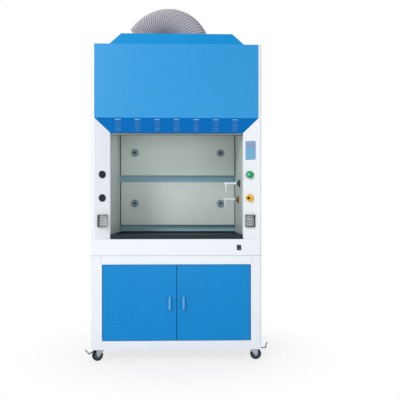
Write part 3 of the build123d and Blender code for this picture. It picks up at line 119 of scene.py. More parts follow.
def shader_group(name, inputs, outputs, build):
    """A group with named inputs and outputs; build gets the tree and its two ends."""
    tree = bpy.data.node_groups.new(name, "ShaderNodeTree")
    for label, value in inputs:
        socket = tree.interface.new_socket(name=label, in_out="INPUT", socket_type="NodeSocketFloat")
        socket.default_value = value
    for label in outputs:
        tree.interface.new_socket(name=label, in_out="OUTPUT", socket_type="NodeSocketFloat")
    build(tree, tree.nodes.new("NodeGroupInput"), tree.nodes.new("NodeGroupOutput"))
    return tree


def build_coat(tree, ends, out):
    """Orange peel of a sprayed coat, with a slow drift in its gloss."""
    place = node(tree, "ShaderNodeTexCoord").outputs["Object"]
    peel = node(tree, "ShaderNodeTexNoise", Vector=place, Scale=ends.outputs["Peel Scale"],
                Detail=2.0, Roughness=0.5)
    drift = node(tree, "ShaderNodeTexNoise", Vector=place, Scale=2.2, Detail=3.0, Roughness=0.55)
    tree.links.new(peel.outputs[0], out.inputs["Peel"])
    tree.links.new(drift.outputs[0], out.inputs["Drift"])


def build_dust(tree, ends, out):
    """Fine dust that lies on what faces up, broken up by noise."""
    place = node(tree, "ShaderNodeTexCoord").outputs["Object"]
    upward = node(tree, "ShaderNodeSeparateXYZ",
                  _0=node(tree, "ShaderNodeNewGeometry").outputs["Normal"]).outputs["Z"]
    flecks = node(tree, "ShaderNodeTexNoise", Vector=place, Scale=34.0, Detail=6.0, Roughness=0.7)
    lying = ramp(tree, upward, 0.35, 0.95)
    broken = ramp(tree, flecks.outputs[0], 0.3, 0.85)
    held = maths(tree, "MULTIPLY", lying, broken)
    tree.links.new(maths(tree, "MULTIPLY", held, ends.outputs["Amount"]), out.inputs["Dust"])


def build_marks(tree, ends, out):
    """Soft smears from hands and wiping, and a little darkening towards the bottom."""
    place = node(tree, "ShaderNodeTexCoord").outputs["Object"]
    stretched = node(tree, "ShaderNodeMapping", _0=place)
    stretched.inputs["Scale"].default_value = (5.0, 5.0, 1.6)
    wiped = node(tree, "ShaderNodeTexNoise", _0=stretched.outputs[0], Scale=1.8, Detail=5.0,
                 Roughness=0.62)
    height = node(tree, "ShaderNodeSeparateXYZ", _0=place).outputs["Z"]
    low = maths(tree, "SUBTRACT", 1.0, ramp(tree, height, 0.05, 0.75))
    smear = ramp(tree, wiped.outputs[0], 0.45, 0.75)
    mixed = maths(tree, "ADD", maths(tree, "MULTIPLY", smear, 0.6),
                  maths(tree, "MULTIPLY", low, 0.25))
    tree.links.new(maths(tree, "MULTIPLY", mixed, ends.outputs["Amount"]), out.inputs["Marks"])


def build_scratches(tree, ends, out):
    """Fine lines of drawn or brushed metal along one direction."""
    place = node(tree, "ShaderNodeTexCoord").outputs["Object"]
    drawn = node(tree, "ShaderNodeMapping", _0=place)
    drawn.inputs["Scale"].default_value = (4.0, 60.0, 60.0)
    lines = node(tree, "ShaderNodeTexNoise", _0=drawn.outputs[0], Scale=ends.outputs["Line Scale"],
                 Detail=4.0, Roughness=0.6)
    tree.links.new(lines.outputs[0], out.inputs["Lines"])


coat_grain = shader_group("sprayed_coat", [("Peel Scale", 420.0)], ["Peel", "Drift"], build_coat)
settled_dust = shader_group("settled_dust", [("Amount", 0.5)], ["Dust"], build_dust)
smears_and_low_darkening = shader_group("smears_and_low_darkening", [("Amount", 0.5)], ["Marks"], build_marks)
drawn_lines = shader_group("drawn_lines", [("Line Scale", 12.0)], ["Lines"], build_scratches)


def use_group(tree, group, **values):
    """A group node with its inputs set."""
    made = node(tree, "ShaderNodeGroup", {"node_tree": group})
    for key, value in values.items():
        made.inputs[key.replace("_", " ")].default_value = value
    return made


def direct_rays(tree):
    """1 for rays that show a background as it is: camera, glossy and transmission rays."""
    ray = node(tree, "ShaderNodeLightPath")
    seen = maths(tree, "MAXIMUM", ray.outputs["Is Camera Ray"], ray.outputs["Is Glossy Ray"])
    return maths(tree, "MAXIMUM", seen, ray.outputs["Is Transmission Ray"])


def blank_material(name):
    """A material with its Principled shader, ready to be fed."""
    material = bpy.data.materials.new(name)
    material.use_nodes = True
    tree = material.node_tree
    return material, tree, tree.nodes["Principled BSDF"]


def bump_from(tree, height, strength, distance):
    """A Bump node on a height."""
    return node(tree, "ShaderNodeBump", Height=height, Strength=strength,
                Distance=distance).outputs["Normal"]


def sprayed_metal(name, colour, roughness=0.36, peel=0.12, dust=0.2, marks=0.3, shade=0.86,
                  sheen=0.25):
    """Powder coat on sheet metal."""
    material, tree, shader = blank_material(name)
    coat = use_group(tree, coat_grain)
    dusty = use_group(tree, settled_dust, Amount=dust)
    marked = use_group(tree, smears_and_low_darkening, Amount=marks)
    darker = tuple(value * shade for value in colour[:3]) + (1,)
    worn = blend_colour(tree, marked.outputs["Marks"], colour, darker)
    dulled = blend_colour(tree, dusty.outputs["Dust"], worn, srgb(205, 203, 196))
    tree.links.new(dulled, shader.inputs["Base Color"])
    gloss = maths(tree, "MULTIPLY_ADD", coat.outputs["Drift"], 0.16)
    gloss.node.inputs[2].default_value = roughness - 0.08
    rough = maths(tree, "ADD", gloss, maths(tree, "MULTIPLY", dusty.outputs["Dust"], 0.3))
    tree.links.new(rough, shader.inputs["Roughness"])
    tree.links.new(bump_from(tree, coat.outputs["Peel"], peel, 0.0004), shader.inputs["Normal"])
    shader.inputs["Specular IOR Level"].default_value = sheen
    shader.inputs["Coat Weight"].default_value = 0.04
    shader.inputs["Coat Roughness"].default_value = 0.25
    return material


def moulded_plastic(name, colour, roughness=0.4, grain=160.0, bump=0.08, marks=0.3):
    """Moulded plastic with a fine spark-eroded grain."""
    material, tree, shader = blank_material(name)
    coat = use_group(tree, coat_grain, Peel_Scale=grain * 6)
    marked = use_group(tree, smears_and_low_darkening, Amount=marks)
    darker = tuple(value * 0.8 for value in colour[:3]) + (1,)
    worn = blend_colour(tree, marked.outputs["Marks"], colour, darker)
    tree.links.new(worn, shader.inputs["Base Color"])
    gloss = maths(tree, "MULTIPLY_ADD", coat.outputs["Drift"], 0.2)
    gloss.node.inputs[2].default_value = roughness - 0.1
    tree.links.new(gloss, shader.inputs["Roughness"])
    tree.links.new(bump_from(tree, coat.outputs["Peel"], bump, 0.0003), shader.inputs["Normal"])
    shader.inputs["Specular IOR Level"].default_value = 0.25
    return material


def bare_metal(name, colour, roughness=0.3, line_scale=12.0, metallic=1.0):
    """Drawn, plated or brushed metal."""
    material, tree, shader = blank_material(name)
    lines = use_group(tree, drawn_lines, Line_Scale=line_scale)
    dusty = use_group(tree, settled_dust, Amount=0.2)
    darker = tuple(value * 0.72 for value in colour[:3]) + (1,)
    toned = blend_colour(tree, lines.outputs["Lines"], darker, colour)
    dulled = blend_colour(tree, dusty.outputs["Dust"], toned, srgb(170, 168, 160))
    tree.links.new(dulled, shader.inputs["Base Color"])
    rough = maths(tree, "MULTIPLY_ADD", lines.outputs["Lines"], 0.22)
    rough.node.inputs[2].default_value = roughness - 0.08
    tree.links.new(rough, shader.inputs["Roughness"])
    tree.links.new(bump_from(tree, lines.outputs["Lines"], 0.06, 0.0003), shader.inputs["Normal"])
    shader.inputs["Metallic"].default_value = metallic
    return material


def clear_glass(name, colour, roughness=0.02, weight=1.0):
    """Tempered sash glass with faint smears."""
    material, tree, shader = blank_material(name)
    marked = use_group(tree, smears_and_low_darkening, Amount=0.4)
    rough = maths(tree, "MULTIPLY_ADD", marked.outputs["Marks"], 0.12)
    rough.node.inputs[2].default_value = roughness
    tree.links.new(rough, shader.inputs["Roughness"])
    shader.inputs["Base Color"].default_value = colour
    shader.inputs["Transmission Weight"].default_value = weight
    shader.inputs["IOR"].default_value = 1.5
    return material


def glazed_worktop(name):
    """Dark chemical-resistant worktop with fine speckle and rinse marks."""
    material, tree, shader = blank_material(name)
    place = node(tree, "ShaderNodeTexCoord").outputs["Object"]
    speck = node(tree, "ShaderNodeTexVoronoi", Vector=place, Scale=420.0)
    coat = use_group(tree, coat_grain, Peel_Scale=180.0)
    dusty = use_group(tree, settled_dust, Amount=0.08)
    grain = ramp(tree, speck.outputs["Distance"], 0.1, 0.5)
    stone = blend_colour(tree, grain, srgb(26, 50, 55), srgb(8, 30, 36))
    dulled = blend_colour(tree, dusty.outputs["Dust"], stone, srgb(140, 146, 146))
    tree.links.new(dulled, shader.inputs["Base Color"])
    gloss = maths(tree, "MULTIPLY_ADD", coat.outputs["Drift"], 0.25)
    gloss.node.inputs[2].default_value = 0.34
    tree.links.new(gloss, shader.inputs["Roughness"])
    tree.links.new(bump_from(tree, coat.outputs["Peel"], 0.1, 0.0005), shader.inputs["Normal"])
    shader.inputs["Specular IOR Level"].default_value = 0.25
    return material


def lining_board(name, colour, back_colour):
    """Smooth laminate board of the lining and the baffles, toned at the back of the chamber."""
    material, tree, shader = blank_material(name)
    place = node(tree, "ShaderNodeTexCoord").outputs["Object"]
    fibre = node(tree, "ShaderNodeTexNoise", Vector=place, Scale=90.0, Detail=5.0, Roughness=0.6)
    marked = use_group(tree, smears_and_low_darkening, Amount=0.45)
    darker = tuple(value * 0.86 for value in colour[:3]) + (1,)
    depth = node(tree, "ShaderNodeSeparateXYZ", _0=place).outputs["Y"]
    toned = blend_colour(tree, ramp(tree, depth, 0.27, 0.33), colour, back_colour)
    board = blend_colour(tree, ramp(tree, fibre.outputs[0], 0.35, 0.65), toned, (1, 1, 1, 1),
                         "SOFT_LIGHT")
    worn = blend_colour(tree, maths(tree, "MULTIPLY", marked.outputs["Marks"], 0.5), toned, darker)
    worn = blend_colour(tree, 0.12, worn, board)
    tree.links.new(worn, shader.inputs["Base Color"])
    rough = maths(tree, "MULTIPLY_ADD", fibre.outputs[0], 0.2)
    rough.node.inputs[2].default_value = 0.34
    tree.links.new(rough, shader.inputs["Roughness"])
    tree.links.new(bump_from(tree, fibre.outputs[0], 0.05, 0.0004), shader.inputs["Normal"])
    return material


WHITE = sprayed_metal("white_coat", srgb(238, 242, 246), marks=0.18)
PANEL_BLUE = sprayed_metal("panel_blue_coat", srgb(46, 150, 214), roughness=0.34)
SLOPE_BLUE = sprayed_metal("slope_blue_coat", srgb(0, 110, 190), roughness=0.36, sheen=0.06)
# Louvre lips: a lighter blue than the slope, a painted highlight of the lit edges of the hoods
HOOD_HIGHLIGHT_BLUE = sprayed_metal("louvre_lip_painted_highlight", srgb(60, 138, 204), roughness=0.3, sheen=0.4)
# Top row of louvre lips: paler still, a stronger painted highlight of the best-lit row
HOOD_TOP_HIGHLIGHT = sprayed_metal("louvre_top_painted_highlight", srgb(132, 190, 232), roughness=0.3, sheen=0.4)
DOOR_BLUE = sprayed_metal("door_blue_coat", srgb(10, 136, 206), roughness=0.34, sheen=0.12)
COVER_BLUE = sprayed_metal("cover_blue_coat", srgb(20, 146, 212), roughness=0.38, sheen=0.12)
LINER = lining_board("liner_board", srgb(196, 206, 200), srgb(156, 200, 216))
BAFFLE = lining_board("baffle_board", srgb(200, 210, 207), srgb(200, 210, 207))
WORKTOP = glazed_worktop("worktop_glaze")
GLASS = clear_glass("sash_glass", (0.93, 0.98, 0.97, 1))
ALUMINIUM = bare_metal("satin_aluminium", srgb(150, 156, 152), 0.5, metallic=0.6)
STEEL = bare_metal("zinc_steel", srgb(176, 180, 186), 0.34)
DARK_IRON = sprayed_metal("dark_iron_paint", srgb(62, 64, 68), roughness=0.5, peel=0.3)
CABLE = bare_metal("cable_strand", srgb(150, 152, 156), 0.4, 60.0)
GUIDE = moulded_plastic("guide_plastic", srgb(226, 229, 232))
TYRE = moulded_plastic("tyre_rubber", srgb(34, 35, 38), 0.62, 90.0, 0.25)
BLOWER = sprayed_metal("blower_coat", srgb(158, 164, 166), roughness=0.5)
MOTOR = sprayed_metal("motor_paint", srgb(70, 92, 116), roughness=0.45, peel=0.3)
LAMP_BODY = moulded_plastic("lamp_body", srgb(236, 238, 240))
SOCKET = moulded_plastic("socket_plastic", srgb(222, 226, 230), 0.3)
PLUG = moulded_plastic("plug_plastic", srgb(28, 30, 36), 0.45)
LID = clear_glass("lid_plastic", (0.90, 0.91, 0.92, 1), 0.04, 0.96)
GREEN = moulded_plastic("green_knob", srgb(18, 150, 72), 0.3)
YELLOW = moulded_plastic("yellow_knob", srgb(238, 196, 32), 0.3)
HANDLE = moulded_plastic("handle_blue", srgb(92, 170, 226), 0.16)
KEYPAD = moulded_plastic("keypad_film", srgb(128, 164, 196), 0.35)
BLACK = moulded_plastic("black_plastic", srgb(26, 27, 30), 0.3)
ROCKER = moulded_plastic("rocker_plastic", srgb(34, 35, 38), 0.22)
TAP_COAT = sprayed_metal("tap_coat", srgb(196, 204, 210), roughness=0.3)
BRASS = bare_metal("turned_brass", srgb(206, 170, 96), 0.28, 30.0)
KNOB_DARK = moulded_plastic("baffle_knob", srgb(116, 138, 146), 0.4)
CUP = moulded_plastic("cup_plastic", srgb(44, 54, 58), 0.45)
PEDAL = sprayed_metal("pedal_coat", srgb(36, 60, 92), roughness=0.35, sheen=0.12)
DUCT_FILM = moulded_plastic("duct_film", srgb(192, 188, 196), 0.42, 60.0, 0.2)
WIRE_COVER = moulded_plastic("duct_wire_cover", srgb(84, 80, 84), 0.5, 60.0, 0.2)

finishes = {
    WHITE: ("base_front_frame", "base_wall_panels", "base_floor_tray", "apron", "corner_post_left",
            "corner_post_right", "outer_wall_panels", "roof_panel"),
    PANEL_BLUE: ("front_panel",), SLOPE_BLUE: ("louvre_panel",), COVER_BLUE: ("roof_cover",),
    DOOR_BLUE: ("cupboard_door_left", "cupboard_door_right"),
    LINER: ("liner_wall_panels", "liner_ceiling"), BAFFLE: ("baffle_upper", "baffle_lower"),
    WORKTOP: ("worktop",), GLASS: ("sash_lower_glass", "sash_upper_glass"),
    ALUMINIUM: ("sash_rail",), GUIDE: ("sash_guides",), CABLE: ("sash_cables",),
    STEEL: ("door_pivot_pins", "caster_plates", "pulley_shaft", "blower_impeller"),
    DARK_IRON: ("counterweight_left", "counterweight_right"), BLOWER: ("blower_housing",),
    MOTOR: ("blower_motor",), LAMP_BODY: ("ceiling_lamp",), BLACK: ("switch_housing",),
    ROCKER: ("switch_rocker",), KEYPAD: ("control_panel",), TAP_COAT: ("service_taps",),
    GREEN: ("valve_knob_gas",), YELLOW: ("valve_knob_water",), SOCKET: ("socket_boxes",),
    LID: ("socket_lid_left", "socket_lid_right"), PLUG: ("hole_plugs",),
    BRASS: ("rear_service_inlets",), HANDLE: ("door_handle_left", "door_handle_right"),
    KNOB_DARK: ("baffle_knobs",), CUP: ("cup_and_drain",), DUCT_FILM: ("flexible_duct",),
}
for corner in ("front_right", "front_left", "rear_right", "rear_left"):
    finishes[STEEL] += (f"caster_fork_{corner}",)
    finishes.setdefault(TYRE, ())
    finishes[TYRE] += (f"caster_wheel_{corner}",)
    finishes.setdefault(PEDAL, ())
    finishes[PEDAL] += (f"caster_brake_{corner}",)
for material, names in finishes.items():
    for name in names:
        nodes[name].data.materials.clear()
        nodes[name].data.materials.append(material)


# Modelling helpers
def rest():
    """Leave edit mode with nothing selected."""
    if bpy.context.object and bpy.context.object.mode != "OBJECT":
        bpy.ops.object.mode_set(mode="OBJECT")
    bpy.ops.object.select_all(action="DESELECT")


def take(piece):
    """Make one piece active and the only one selected."""
    rest()
    piece.select_set(True)
    bpy.context.view_layer.objects.active = piece


def primitive(kind, name, **options):
    """A new primitive, named."""
    rest()
    getattr(bpy.ops.mesh, f"primitive_{kind}_add")(**options)
    piece = bpy.context.object
    piece.name = name
    return piece


def pick(piece, test, what="FACE"):
    """Go into edit mode with the faces, edges or vertices selected that pass a test."""
    take(piece)
    bpy.ops.object.mode_set(mode="EDIT")
    bpy.ops.mesh.select_mode(type=what)
    bpy.ops.mesh.select_all(action="DESELECT")
    bpy.ops.object.mode_set(mode="OBJECT")
    items = {"FACE": piece.data.polygons, "EDGE": piece.data.edges, "VERT": piece.data.vertices}
    for item in items[what]:
        item.select = test(item)
    bpy.ops.object.mode_set(mode="EDIT")


def modify(piece, kind, **settings):
    """Add a modifier and apply it."""
    take(piece)
    modifier = piece.modifiers.new(kind.lower(), kind)
    for key, value in settings.items():
        setattr(modifier, key, value)
    bpy.ops.object.modifier_apply(modifier=modifier.name)


def facing(origin, outward, up=(0, 0, 1)):
    """A frame whose z points outward from a surface and whose y points up along it."""
    z = Vector(outward).normalized()
    x = Vector(up).cross(z).normalized()
    y = z.cross(x)
    turned = Matrix((x, y, z)).transposed().to_4x4()
    return Matrix.Translation(origin) @ turned


def copies(piece, places, name):
    """One piece made of copies at several places; the model itself goes away."""
    made = []
    bpy.context.view_layer.update()
    for place in places:
        twin = bpy.data.objects.new(name, piece.data.copy())
        bpy.context.scene.collection.objects.link(twin)
        twin.data.transform(place @ piece.matrix_world)
        made.append(twin)
    bpy.data.objects.remove(piece)
    rest()
    for twin in made:
        twin.select_set(True)
    bpy.context.view_layer.objects.active = made[0]
    if len(made) > 1:
        bpy.ops.object.join()
    bpy.context.object.name = name
    return bpy.context.object


def join(pieces):
    """Merge several pieces into the first of them."""
    take(pieces[0])
    for other in pieces[1:]:
        other.select_set(True)
    bpy.ops.object.join()
    return pieces[0]


def finish_piece(piece, body, material, smooth=35, stands_for=()):
    """Place goes into the mesh, then shading, material and the body it rides on."""
    take(piece)
    bpy.ops.object.transform_apply(location=True, rotation=True, scale=True)
    if smooth:
        bpy.ops.object.shade_smooth_by_angle(angle=math.radians(smooth))
    if material is not None:
        piece.data.materials.clear()
        piece.data.materials.append(material)
    rest()
    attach(piece, body)
    if stands_for:
        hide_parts(*stands_for)
    return piece


# Ribbed exhaust duct: a pleated film over wire rings, bent to the left and back
DUCT_X = 0.142
DUCT_FOOT = 2.264
DUCT_BEND = 0.271
DUCT_ARC = math.radians(137)
DUCT_TURN = math.radians(-25)
RIBS = 36
duct_place = Matrix.Translation((DUCT_X, 0, DUCT_FOOT)) @ Matrix.Rotation(DUCT_TURN, 4, "Z")


def ribbed_duct():
    """A circle spun round the bend, its rings drawn in and out into pleats."""
    steps = RIBS * 4
    film = primitive("circle", "duct_film", vertices=56, radius=0.1200)
    bpy.ops.object.mode_set(mode="EDIT")
    bpy.ops.mesh.select_all(action="SELECT")
    bpy.ops.mesh.spin(steps=steps, angle=DUCT_ARC, center=(-DUCT_BEND, 0, 0), axis=(0, 1, 0))
    bpy.ops.mesh.select_all(action="SELECT")
    bpy.ops.mesh.normals_make_consistent(inside=False)

    def ring(vertex):
        return round(math.atan2(vertex.co.z, vertex.co.x + DUCT_BEND) / DUCT_ARC * steps)
    pick(film, lambda v: ring(v) % 4 == 2, "VERT")
    bpy.ops.transform.shrink_fatten(value=0.0022)
    pick(film, lambda v: ring(v) % 4 == 0, "VERT")
    bpy.ops.transform.shrink_fatten(value=-0.0050)
    rest()
    modify(film, "SOLIDIFY", thickness=0.0012, offset=-1)
    return film


duct = ribbed_duct()
duct.data.transform(duct_place)
finish_piece(duct, "cabinet", DUCT_FILM, smooth=60, stands_for=("flexible_duct",))
cuff = primitive("cylinder", "duct_cuff", vertices=64, radius=0.1188, depth=0.0245,
                 location=(DUCT_X, 0, DUCT_FOOT - 0.0117), end_fill_type="NOTHING")
modify(cuff, "SOLIDIFY", thickness=0.0014, offset=-1)
finish_piece(cuff, "cabinet", DUCT_FILM)
wire = primitive("torus", "duct_wire", major_radius=0.1217, minor_radius=0.0021, major_segments=56,
                 minor_segments=8)
rings = []
for rib in range(RIBS):
    angle = DUCT_ARC * (rib + 0.5) / RIBS
    out = Vector((math.cos(angle) - 1, 0, math.sin(angle))) * DUCT_BEND
    rings.append(duct_place @ Matrix.Translation(out) @ Matrix.Rotation(-angle, 4, "Y"))
wires = copies(wire, rings, "duct_wire")
finish_piece(wires, "cabinet", WIRE_COVER, smooth=60)


# Louvre hoods: a rounded lip over each slot of the slope, painted a lighter blue than the slope as a
# painted highlight of its lit edge; the top row is paler still, a stronger painted highlight
SLOPE_FOOT = Vector((0, -0.340, 1.621))
SLOPE_RISE = Vector((0, -0.060, 0.098))
SLOPE_LENGTH = SLOPE_RISE.length
LOUVRE_GROUPS = 7
LOUVRE_ROWS = 6
LOUVRE_WIDTH = 0.040
GROUP_PITCH = 0.138
ROW_PITCH = 0.017
slope_up = SLOPE_RISE.normalized()
slope_out = Vector((0, -slope_up.z, slope_up.y))


def louvre_lip():
    """A half-round bead with rounded ends, lying along x."""
    lip = primitive("cylinder", "louvre_lip", vertices=20, radius=0.0034, depth=LOUVRE_WIDTH,
                    rotation=(0, math.radians(90), 0))
    take(lip)
    bpy.ops.object.transform_apply(rotation=True)
    modify(lip, "BEVEL", width=0.0020, segments=3, limit_method="ANGLE")
    return lip


def louvre_row(rows):
    """Places of the lips in some rows of every group."""
    places = []
    first = (SLOPE_LENGTH - (LOUVRE_ROWS - 1) * ROW_PITCH) / 2
    for group in range(LOUVRE_GROUPS):
        for row in rows:
            across = (group - (LOUVRE_GROUPS - 1) / 2) * GROUP_PITCH
            spot = SLOPE_FOOT + slope_up * (first + row * ROW_PITCH + 0.0025) + slope_out * 0.0005
            places.append(Matrix.Translation((across, spot.y, spot.z)))
    return places


lips = copies(louvre_lip(), louvre_row(range(LOUVRE_ROWS - 1)), "louvre_lips")
finish_piece(lips, "cabinet", HOOD_HIGHLIGHT_BLUE, smooth=50)
top_lips = copies(louvre_lip(), louvre_row([LOUVRE_ROWS - 1]), "louvre_top_lips")
finish_piece(top_lips, "cabinet", HOOD_TOP_HIGHLIGHT, smooth=50)


# Remote valve knobs: a lobed cap with an index disc, on a round collar
def bevel_frame(side, height):
    """A frame on the slanted face of a front post, its z facing the user."""
    outward = Vector((-side * math.sin(BEVEL), -math.cos(BEVEL), 0))
    return facing((side * (OPENING_HALF + BEVEL_WIDE / 2), FRONT + BEVEL_DEEP / 2, height), outward)


def lobed_knob(name, height, body, paint, index_paint, node_name):
    """A turned cap with eight lobes."""
    cap = primitive("cylinder", name, vertices=64, radius=0.0252, depth=0.026,
                    location=(0, 0, 0.018))
    pick(cap, lambda f: f.normal.z > 0.9)
    bpy.ops.mesh.inset(thickness=0.004)
    bpy.ops.transform.translate(value=(0, 0, 0.004))
    bpy.ops.mesh.inset(thickness=0.005)
    bpy.ops.transform.translate(value=(0, 0, 0.0015))
    pick(cap, lambda f: f.normal.z > 0.9 and f.area > 0.0003)
    bpy.ops.mesh.inset(thickness=0.002)
    bpy.ops.transform.translate(value=(0, 0, -0.0012))

    def in_flute(vertex):
        turn = math.degrees(math.atan2(vertex.co.y, vertex.co.x)) % 45
        return min(turn, 45 - turn) < 9 and math.hypot(vertex.co.x, vertex.co.y) > 0.0200
    pick(cap, in_flute, "VERT")
    bpy.ops.transform.shrink_fatten(value=-0.0030)
    rest()
    modify(cap, "BEVEL", width=0.0008, segments=2, limit_method="ANGLE")
    collar = primitive("cylinder", "collar", vertices=48, radius=0.0245, depth=0.0048,
                       location=(0, 0, 0.0027))
    modify(collar, "BEVEL", width=0.0012, segments=2, limit_method="ANGLE")
    join([cap, collar])
    bpy.ops.object.transform_apply(location=True)
    cap.data.transform(bevel_frame(1, height))
    finish_piece(cap, body, paint, stands_for=(node_name,))
    disc = primitive("cylinder", f"{name}_index", vertices=40, radius=0.0112, depth=0.003,
                     location=(0, 0, 0.0366))
    pick(disc, lambda f: f.normal.z > 0.9)
    bpy.ops.mesh.inset(thickness=0.0018)
    bpy.ops.transform.translate(value=(0, 0, 0.0008))
    rest()
    modify(disc, "BEVEL", width=0.0004, segments=2, limit_method="ANGLE")
    bpy.ops.object.transform_apply(location=True)
    disc.data.transform(bevel_frame(1, height))
    finish_piece(disc, body, index_paint)


INDEX_BLUE = moulded_plastic("index_blue", srgb(96, 200, 190), 0.25)
INDEX_RED = moulded_plastic("index_red", srgb(132, 26, 14), 0.25)
lobed_knob("gas_knob_cap", VALVE_LEVELS[1], "gas_knob", GREEN, INDEX_BLUE, "valve_knob_gas")
lobed_knob("water_knob_cap", VALVE_LEVELS[0], "water_knob", YELLOW, INDEX_RED,
           "valve_knob_water")


# Sockets behind clear lids: a light face with a shutter holes pattern in a dark box
DARK_GREY = moulded_plastic("socket_grey", srgb(70, 72, 74), 0.38)
FACE_GREY = moulded_plastic("socket_face", srgb(172, 178, 182), 0.3)
# Pin openings: near-black, painted shade of the deep holes
PIN_HOLE_SHADE = moulded_plastic("socket_holes", srgb(18, 18, 20), 0.6)
nodes["socket_boxes"].data.materials.clear()
nodes["socket_boxes"].data.materials.append(DARK_GREY)


def socket_face():
    """The insert of one socket: a framed face with a label strip above it."""
    face = primitive("cube", "socket_face", size=1, location=(0, -0.006, 0.0152))
    take(face)
    face.scale = (0.052, 0.056, 0.0024)
    bpy.ops.object.transform_apply(location=True, scale=True)
    pick(face, lambda f: f.normal.z > 0.9)
    bpy.ops.mesh.inset(thickness=0.0035)
    bpy.ops.transform.translate(value=(0, 0, -0.0008))
    rest()
    modify(face, "BEVEL", width=0.0005, segments=2, limit_method="ANGLE")
    strip = primitive("cube", "label_strip", size=1, location=(0, 0.0325, 0.0150))
    strip.scale = (0.044, 0.010, 0.002)
    take(strip)
    bpy.ops.object.transform_apply(location=True, scale=True)
    modify(strip, "BEVEL", width=0.0006, segments=2, limit_method="ANGLE")
    return join([face, strip])


def socket_holes():
    """Pin openings, sunk a little below the face's edge, later given a near-black painted shade that stands
    in for the depth of the holes.
    """
    holes = []
    for x, y, wide, high in ((0, 0.005, 0.0066, 0.0130), (-0.009, -0.013, 0.0090, 0.0070),
                             (0.009, -0.013, 0.0090, 0.0070), (-0.0185, 0.002, 0.0066, 0.0086),
                             (0.0185, 0.002, 0.0066, 0.0086)):
        hole = primitive("cylinder", "pin_opening", vertices=20, radius=0.5, depth=0.0006,
                         location=(x, y - 0.005, 0.01585))
        hole.scale = (wide, high, 1)
        take(hole)
        bpy.ops.object.transform_apply(location=True, scale=True)
        pick(hole, lambda f: f.normal.z > 0.9)
        bpy.ops.mesh.inset(thickness=0.0006)
        bpy.ops.transform.translate(value=(0, 0, -0.0003))
        rest()
        holes.append(hole)
    return join(holes)


socket_places = [bevel_frame(side, SOCKET_LEVEL) for side in (-1, 1)]
faces = copies(socket_face(), socket_places, "socket_faces")
finish_piece(faces, "cabinet", FACE_GREY)
openings = copies(socket_holes(), socket_places, "socket_openings")
finish_piece(openings, "cabinet", PIN_HOLE_SHADE)


# Blank plugs on the left post: a black disc in a raised ring
ring = primitive("torus", "plug_ring", major_radius=0.0248, minor_radius=0.0021, major_segments=64,
                 minor_segments=10, location=(0, 0, 0.0018))
take(ring)
bpy.ops.object.transform_apply(location=True)
plug_places = [bevel_frame(-1, height) for height in VALVE_LEVELS]
rings_left = copies(ring, plug_places, "plug_rings")
finish_piece(rings_left, "cabinet", BLACK, smooth=60)
centre = primitive("cylinder", "plug_centre", vertices=40, radius=0.0085, depth=0.0016,
                   location=(0, 0, 0.0046))
pick(centre, lambda f: f.normal.z > 0.9)
bpy.ops.mesh.inset(thickness=0.002)
bpy.ops.transform.translate(value=(0, 0, -0.0008))
rest()
modify(centre, "BEVEL", width=0.0003, segments=2, limit_method="ANGLE")
centres = copies(centre, plug_places, "plug_centres")
finish_piece(centres, "cabinet", TYRE)


# Control panel: a display window over a field of membrane keys
DISPLAY = moulded_plastic("display_window", srgb(150, 168, 196), 0.12, bump=0.0)
KEY_BLUE = moulded_plastic("key_blue", srgb(96, 190, 232), 0.35)
DIGIT = moulded_plastic("display_digits", srgb(70, 92, 120), 0.3)
panel = bevel_frame(1, KEYPAD_LEVEL)


def rounded_plate(name, wide, high, thick, corner, x=0.0, y=0.0, z=0.0):
    """A flat plate with rounded corners and a soft front edge, lying in its own frame."""
    plate = primitive("cube", name, size=1, location=(x, y, z + thick / 2))
    plate.scale = (wide, high, thick)
    take(plate)
    bpy.ops.object.transform_apply(location=True, scale=True)
    pick(plate, lambda e: abs((plate.data.vertices[e.vertices[0]].co
                               - plate.data.vertices[e.vertices[1]].co).z) > thick * 0.9, "EDGE")
    bpy.ops.mesh.bevel(offset=corner, segments=6)
    pick(plate, lambda f: f.normal.z > 0.9)
    bpy.ops.mesh.inset(thickness=min(0.0008, thick * 0.4))
    bpy.ops.transform.translate(value=(0, 0, min(0.0003, thick * 0.3)))
    rest()
    return plate


window = rounded_plate("display_window", 0.055, 0.033, 0.0008, 0.002, 0, 0.038, 0.0051)
window.data.transform(panel)
finish_piece(window, "cabinet", DISPLAY)
key = rounded_plate("panel_key", 0.0152, 0.0122, 0.0007, 0.0022)
key_places = [panel @ Matrix.Translation(((column - 1) * 0.020, -0.022 + (row - 1.5) * 0.019, 0.0067))
              for column in range(3) for row in range(4)]
keys = copies(key, key_places, "panel_keys")
finish_piece(keys, "cabinet", KEY_BLUE)
bar = rounded_plate("display_bar", 0.0085, 0.0018, 0.0003, 0.0005)
bar_places = []
for digit in range(4):
    for row in (-1, 0, 1):
        bar_places.append(panel @ Matrix.Translation((-0.018 + digit * 0.012, 0.038 + row * 0.0075,
                                                      0.0060)))
digits = copies(bar, bar_places, "display_digits")
finish_piece(digits, "cabinet", DIGIT)


# Taps: coloured wall flange, white pipe with an elbow, and a tapered ribbed nozzle
FLANGE_GREEN = sprayed_metal("flange_green", srgb(46, 74, 52), roughness=0.3)
FLANGE_BROWN = sprayed_metal("flange_brown", srgb(122, 96, 44), roughness=0.3)
TAP_WHITE = sprayed_metal("tap_white", srgb(236, 240, 244), roughness=0.24, marks=0.1)
tap_spots = ((-0.110, 1.270, FLANGE_GREEN, GREEN, "green"), (-0.010, 1.152, FLANGE_BROWN, YELLOW, "yellow"))


